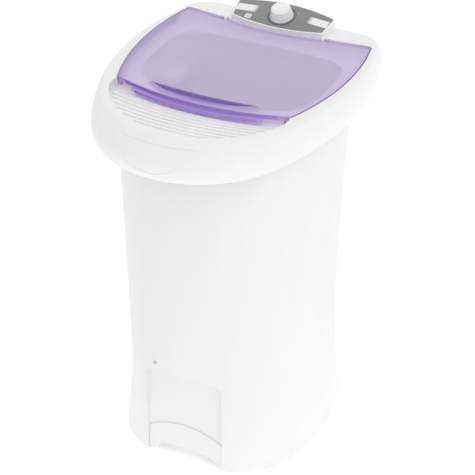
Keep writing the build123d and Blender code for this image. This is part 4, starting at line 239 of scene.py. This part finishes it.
even = (1.0, 1.0, 1.0)
turned_aluminium = metal("turned_aluminium", (0.78, 0.79, 0.8), 0.4)
turned_aluminium.dress("bearing_housing", "driven_pulley", "motor_pulley")
metal("sintered_bronze", (0.62, 0.42, 0.22), 0.5, even, 900.0).dress("shaft_bushes")
rubber("seal_rubber").dress("shaft_seal", "tub_gasket")
moulded("nut_black", (0.06, 0.06, 0.065), 0.45).dress("ring_nut", "outlet_nut")
bright_zinc = metal("bright_zinc", (0.72, 0.73, 0.75), 0.38, even, 300.0)
bright_zinc.dress("flange_bolts", "bracket_screws", "pulley_nut", "housing_screws", "cover_screws")
bright_zinc.dress("motor_tie_bolts", "motor_bolts", "motor_nuts", "timer_screws", "agitator_screw")

# Agitator
# A moulded disc with four fins round a domed hub, screwed to its ground steel shaft under a push-on
# cap. The timer's shaft is of ground steel too.
moulded("agitator_white", (0.88, 0.88, 0.9), 0.35).dress("agitator", "agitator_cap")
metal("ground_steel", (0.6, 0.61, 0.63), 0.18).dress("agitator_shaft", "timer_shaft")

# Belt drive
# A rubber wedge belt from the motor's pulley to the large wheel on the agitator's shaft. The pulleys
# are turned from aluminium, as the bearing housing is.
rubber("belt_rubber", (0.03, 0.03, 0.032), 0.65).dress("drive_belt")

# Motor on its bracket
# Dark enamelled covers round a varnished stack of laminations, hung by grommets from a pressed
# plate with a pale powder coat. The stack shows its thin sheets.
enamel = moulded("motor_enamel", (0.05, 0.05, 0.055), 0.35, grain=500.0, relief=0.00005)
enamel.dress("motor_upper_cover", "motor_lower_cover")
varnish_dark = (0.16, 0.14, 0.12)
varnish_pale = (0.34, 0.32, 0.3)
stack_finish = Finish("laminations")
sheets = stack_finish.place.part("Z") * 12000.0
sheet_line = sheets.number("SINE", sheets) * 0.5 + 0.5
stack_finish.set(
    Base_Color=sheet_line.pick(varnish_dark, varnish_pale),
    Metallic=0.7,
    Roughness=stack_finish.place.noise(50.0) * 0.3 + 0.3,
)
stack_finish.bump(sheet_line, 0.00005).dress("motor_stator")
metal("rotor_steel", (0.55, 0.56, 0.58), 0.38).dress("motor_shaft")
rubber("grommet_rubber", (0.05, 0.05, 0.05)).dress("motor_grommets")
bracket_coat = moulded("bracket_coat", (0.72, 0.72, 0.73), 0.42, grain=500.0, relief=0.00008)
bracket_coat.dress("motor_bracket")

# Capacitor
# A drawn aluminium can in a spring clip; the small screw in the cabinet's front holds the clip
# through the wall.
metal("drawn_can", (0.75, 0.76, 0.78), 0.38, (1.0, 1.0, 0.02), 500.0).dress("capacitor")
metal("spring_clip", (0.66, 0.67, 0.69), 0.38, even, 300.0).dress("capacitor_clip", "front_screw")

# Drain
# A grey flexible hose from the tub to the outlet in the back wall, with a steel band clamp at each
# end. The outlet and the cord's gland beside it are black mouldings.
moulded("hose_grey", (0.32, 0.33, 0.35), 0.5, grain=600.0, relief=0.00005).dress("drain_hose")
moulded("outlet_black", (0.05, 0.05, 0.055), 0.4).dress("drain_outlet", "cord_gland")
metal("band_steel", (0.7, 0.71, 0.73), 0.18, even, 400.0).dress("hose_clamps")

# Top housing
# The overhanging rim, deck, scrubbing board and console in one white moulding, a shade brighter and
# a little glossier than the cabinet. The lid rests on small grey rubber pads let into its deck.
moulded("housing_white", (0.89, 0.89, 0.892), 0.34, wander=0.006).dress("top_housing")
rubber("pad_rubber", (0.55, 0.55, 0.57), 0.6).dress("lid_pads")

# Control plate
# A thin grey printed plate let into the console: at each end a pale box, left bare, that fades
# towards the knob, then a small pale square, and plain marks round the dial. A dark teal ring just
# outside the knob's foot is painted shadow, standing in for the shade the knob casts on the plate.
# The print and that painted shadow are drawn in the plate's own plane, which the knob's axis gives.
dial = next(joint for joint in frame["joints"] if joint["name"] == "timer_turn")
plate_lean = math.atan2(dial["axis"][1], -dial["axis"][2])
plate_grey = (0.225, 0.23, 0.23)
plate_grey_pale = (0.25, 0.255, 0.255)
# Painted shadow: the dark teal of the ring round the knob's foot, in place of the knob's cast shade.
knob_shadow_teal = (0.06, 0.105, 0.11)
tick_grey = (0.75, 0.78, 0.78)
print_white = (0.88, 0.88, 0.885)
label_middle = 0.083
label_rise = 0.0039
label_slope = 0.09
label_half_height = 0.0103
label_fade = (0.056, 0.07)
label_end = (0.1068, 0.106)
icon_centre = (-0.07, -0.0205)
icon_half_width = 0.0068
icon_half_height = 0.0063
icon_ring = (0.0026, 0.0038)
tick_count = 6.0
tick_arc = (0.975, 0.99)
tick_radii = (0.0335, 0.0365)
knob_shadow_radii = (0.027, 0.031)
knob_shadow_edge = 0.0006


def window(value, low, high, soft=0.0004):
    """1 where the value lies between low and high."""
    return value.step(low - soft, low + soft) * value.step(high + soft, high - soft)


def distance(x, y):
    """How far a point is from where both of its coordinates are 0."""
    squares = x * x + y * y
    return squares.number("SQRT", squares)


plate_finish = Finish("plate_print")
on_plate = plate_finish.place.node(
    "ShaderNodeVectorMath", {0: plate_finish.place, 1: dial["pos_m"]}, operation="SUBTRACT"
)
on_plate = on_plate.node(
    "ShaderNodeVectorRotate", {"Vector": on_plate, "Angle": -plate_lean}, rotation_type="X_AXIS"
)
plate_x = on_plate.part("X")
plate_y = on_plate.part("Y")
off_middle = abs(plate_x)
label_line = label_rise - (off_middle - label_middle) * label_slope
labels = window(plate_y - label_line, -label_half_height, label_half_height)
labels = labels * off_middle.step(*label_fade) * off_middle.step(*label_end)
icon_x = plate_x - icon_centre[0]
icon_y = plate_y - icon_centre[1]
icon = window(icon_x, -icon_half_width, icon_half_width)
icon = icon * window(icon_y, -icon_half_height, icon_half_height)
icon = icon * (1.0 - window(distance(icon_x, icon_y), *icon_ring))
from_dial = distance(plate_x, plate_y)
turn = plate_x.number("ARCTAN2", plate_x, plate_y) * tick_count
ticks = turn.number("COSINE", turn).step(*tick_arc) * window(from_dial, *tick_radii)
# Painted shadow: a dark ring just outside the knob's foot, mixed in three quarters strong.
painted_knob_shadow = window(from_dial, *knob_shadow_radii, knob_shadow_edge) * 0.75
tone = plate_finish.place.noise(8.0).step(0.3, 0.7).pick(plate_grey, plate_grey_pale)
tone = (ticks * 0.55).pick(painted_knob_shadow.pick(tone, knob_shadow_teal), tick_grey)
plate_finish.set(Base_Color=labels.larger(icon).pick(tone, print_white), Roughness=0.35)
plate_finish.bump(plate_finish.place.noise(2000.0), 0.00001).dress("control_plate")

# Timer
# A black clockwork box screwed behind the console and the white knob on its shaft. The knob is
# polished, with a finer grain than the other mouldings.
moulded("timer_black", (0.05, 0.05, 0.055), 0.4).dress("timer_body")
knob_finish = moulded("knob_white", (0.88, 0.88, 0.885), 0.22, grain=1800.0, relief=0.00001)
knob_finish.dress("timer_knob")

# Lid
# A crowned lilac see-through moulding, hung on two knuckles at its back. The thin plate tints light
# a little; the skirts, the front wall, the flange's lip and the finger scoop are seen through more
# plastic and look a deeper violet.
arc_middle_y = 0.3924
arc_radius = 0.5193
deck_slope = 0.0419
deck_height = 0.8416
lip_start = (0.0082, 0.0086)
lip_half_width = (0.139, 0.136)
wall_front = (0.0018, 0.0012)
wall_top = (0.0065, 0.005)
wall_half_width = (0.173, 0.17)
scoop_near_middle = arc_middle_y - 0.2724
scoop_near_radius = 0.2359
scoop_far_middle = arc_middle_y + 0.2405
scoop_far_radius = 0.7238
scoop_edge = 0.0005
plate_lilac = (0.83, 0.74, 0.99)
skirt_violet = (0.3, 0.2, 0.48)
flange_violet = (0.7, 0.55, 0.96)
ear_violet = (0.64, 0.5, 0.92)
scoop_violet = (0.5, 0.37, 0.8)
band_violet_left = (0.34, 0.18, 0.66)
band_violet_right = (0.47, 0.31, 0.8)
lid_finish = Finish("lid_lilac")
lid_x = lid_finish.place.part("X")
lid_y = lid_finish.place.part("Y")
past_arc = distance(lid_x, lid_y - arc_middle_y) - arc_radius
front = past_arc.step(-0.003, -0.002)
above_deck = lid_finish.place.part("Z") - lid_y * deck_slope - deck_height
facing = lid_finish.place.node("ShaderNodeTexCoord", output=1)
steep = abs(facing.part("Z")).step(0.97, 0.6)
lip = past_arc.step(*lip_start) * front * abs(lid_x).step(*lip_half_width)
front_wall = front * past_arc.step(*wall_front) * steep
dark_wall = front_wall * above_deck.step(*wall_top) * abs(lid_x).step(*wall_half_width)
ear = front_wall * (1.0 - dark_wall)
band = lip.larger(dark_wall)
to_near = distance(lid_x, lid_y - scoop_near_middle)
to_far = distance(lid_x, lid_y - scoop_far_middle)
scoop = to_near.step(scoop_near_radius + scoop_edge, scoop_near_radius - scoop_edge) * (1.0 - front)
scoop = scoop * to_far.step(scoop_far_radius - scoop_edge, scoop_far_radius + scoop_edge)
skirt = steep * (above_deck.step(0.0016, -0.0014) * 0.8 + 0.2) * (1.0 - scoop)
body = front.pick(skirt.pick(plate_lilac, skirt_violet), flange_violet)
body = scoop.pick(ear.pick(body, ear_violet), scoop_violet)
band_violet = lid_x.step(-0.17, 0.02).pick(band_violet_left, band_violet_right)
lid_finish.set(
    Base_Color=band.pick(body, band_violet),
    Roughness=lid_finish.place.noise(30.0).step(0.2, 0.8) * 0.05 + 0.08,
    IOR=PLASTIC_IOR,
)

thin_tint = (0.975, 0.955, 0.99)
deep_tint = (0.72, 0.54, 0.92)
tint_shares = {"skirt": 0.95, "front": 0.61, "ear": 0.28, "scoop": 0.5, "band": 1.0}


def toward(start, share, end):
    """The number start where share is 0 and end where it is 1."""
    return start * (1.0 - share) + share * end


depth = toward(skirt * tint_shares["skirt"], front, tint_shares["front"])
depth = toward(depth, ear, tint_shares["ear"])
depth = toward(depth, scoop, tint_shares["scoop"])
depth = toward(depth, band, tint_shares["band"])
clear_thin = lid_finish.place.node("ShaderNodeBsdfTransparent", {"Color": rgba(thin_tint)})
clear_deep = lid_finish.place.node("ShaderNodeBsdfTransparent", {"Color": rgba(deep_tint)})
clear = depth.node("ShaderNodeMixShader", {0: depth, 1: clear_thin, 2: clear_deep})
solid = Field(lid_finish.tree, lid_finish.shader.outputs[0])
share_solid = skirt * 0.22 + front * 0.15 + band * 0.22 + scoop * 0.24 + 0.33
see_through = share_solid.node("ShaderNodeMixShader", {0: share_solid, 1: clear, 2: solid})
feed(lid_finish.tree, lid_finish.output.inputs[0], see_through)
lid_finish.dress("lid")

# Floor and backdrop
# A plain white studio floor that keeps the contact shadow, with a little light of its own round the
# foot. The world lights everything evenly, a little less from the left, and is white to the camera.
floor_half = 30.0
floor_white = (0.9, 0.9, 0.9)
floor_white_pale = (0.905, 0.905, 0.905)
glow_reach = (0.65, 0.25)
glow_far = 0.28
glow_more_near = 0.17
floor_mesh = bpy.data.meshes.new("floor")
builder = bmesh.new()
bmesh.ops.create_grid(builder, x_segments=1, y_segments=1, size=floor_half)
bmesh.ops.recalc_face_normals(builder, faces=builder.faces)
builder.to_mesh(floor_mesh)
builder.free()
floor = bpy.data.objects.new("floor", floor_mesh)
bpy.context.scene.collection.objects.link(floor)
floor_finish = Finish("floor_white")
from_foot = floor_finish.place.node("ShaderNodeVectorMath", {0: floor_finish.place}, 1, operation="LENGTH")
glow = from_foot.step(*glow_reach) * glow_more_near + glow_far
floor_finish.set(
    Base_Color=floor_finish.place.noise(2.0).step(0.2, 0.8).pick(floor_white, floor_white_pale),
    Roughness=0.9,
    Emission_Color=glow.pick((0.0, 0.0, 0.0), (1.0, 1.0, 1.0)),
    Emission_Strength=1.0,
)
floor_mesh.materials.append(floor_finish.material)

light_everywhere = 0.5
light_more_right = 0.23
light_more_above = 0.42
world = bpy.data.worlds.new("studio")
bpy.context.scene.world = world
world.use_nodes = True
world.node_tree.nodes.clear()
sky = Field(world.node_tree, world.node_tree.nodes.new("ShaderNodeTexCoord").outputs["Generated"])
light = sky.part("X").step(-0.9, 0.9) * light_more_right
light = light + sky.part("Z").step(0.1, 0.9) * light_more_above + light_everywhere
rays = world.node_tree.nodes.new("ShaderNodeLightPath")
seen, glossy, through = (
    Field(world.node_tree, rays.outputs[kind])
    for kind in ("Is Camera Ray", "Is Glossy Ray", "Is Transmission Ray")
)
plain = seen.larger(glossy.larger(through))
strength = plain + light * (1.0 - plain)
back = strength.node("ShaderNodeBackground", {"Strength": strength, "Color": (1.0, 1.0, 1.0, 1.0)})
world_output = world.node_tree.nodes.new("ShaderNodeOutputWorld")
feed(world.node_tree, world_output.inputs[0], back)

# Lamp
# One large square soft box, high on the right of the front. It lifts that side a little and gives
# the skins their sheen.
lamp_place = Vector((2.2, -1.6, 2.6))
lamp_target = Vector((0.0, 0.0, 0.5))
lamp_data = bpy.data.lights.new("key", "AREA")
lamp_data.shape = "RECTANGLE"
lamp_data.size = 2.0
lamp_data.size_y = 2.0
lamp_data.energy = 5.0
lamp = bpy.data.objects.new("key", lamp_data)
lamp.location = lamp_place
lamp.rotation_euler = (lamp_target - lamp_place).to_track_quat("-Z", "Y").to_euler()
bpy.context.scene.collection.objects.link(lamp)

# Camera
# A long lens on the right of the front, looking down. Its place comes from a fit to the outlines
# that the photo shows.
azimuth = math.radians(27.75)
elevation = math.radians(31.21)
camera_place = (1.6395, -3.0541, 2.5647)
right = Vector((math.cos(azimuth), math.sin(azimuth), 0.0))
up_x = -math.sin(azimuth) * math.sin(elevation)
up_y = math.cos(azimuth) * math.sin(elevation)
up = Vector((up_x, up_y, math.cos(elevation)))
behind = right.cross(up)
camera_data = bpy.data.cameras.new("camera")
camera_data.sensor_width = 36.0
camera_data.lens = 145.21
camera_data.clip_end = 100.0
camera = bpy.data.objects.new("camera", camera_data)
camera.matrix_world = Matrix.Translation(camera_place) @ Matrix((right, up, behind)).transposed().to_4x4()
bpy.context.scene.collection.objects.link(camera)
bpy.context.scene.camera = camera
bpy.context.scene.view_settings.view_transform = "Standard"
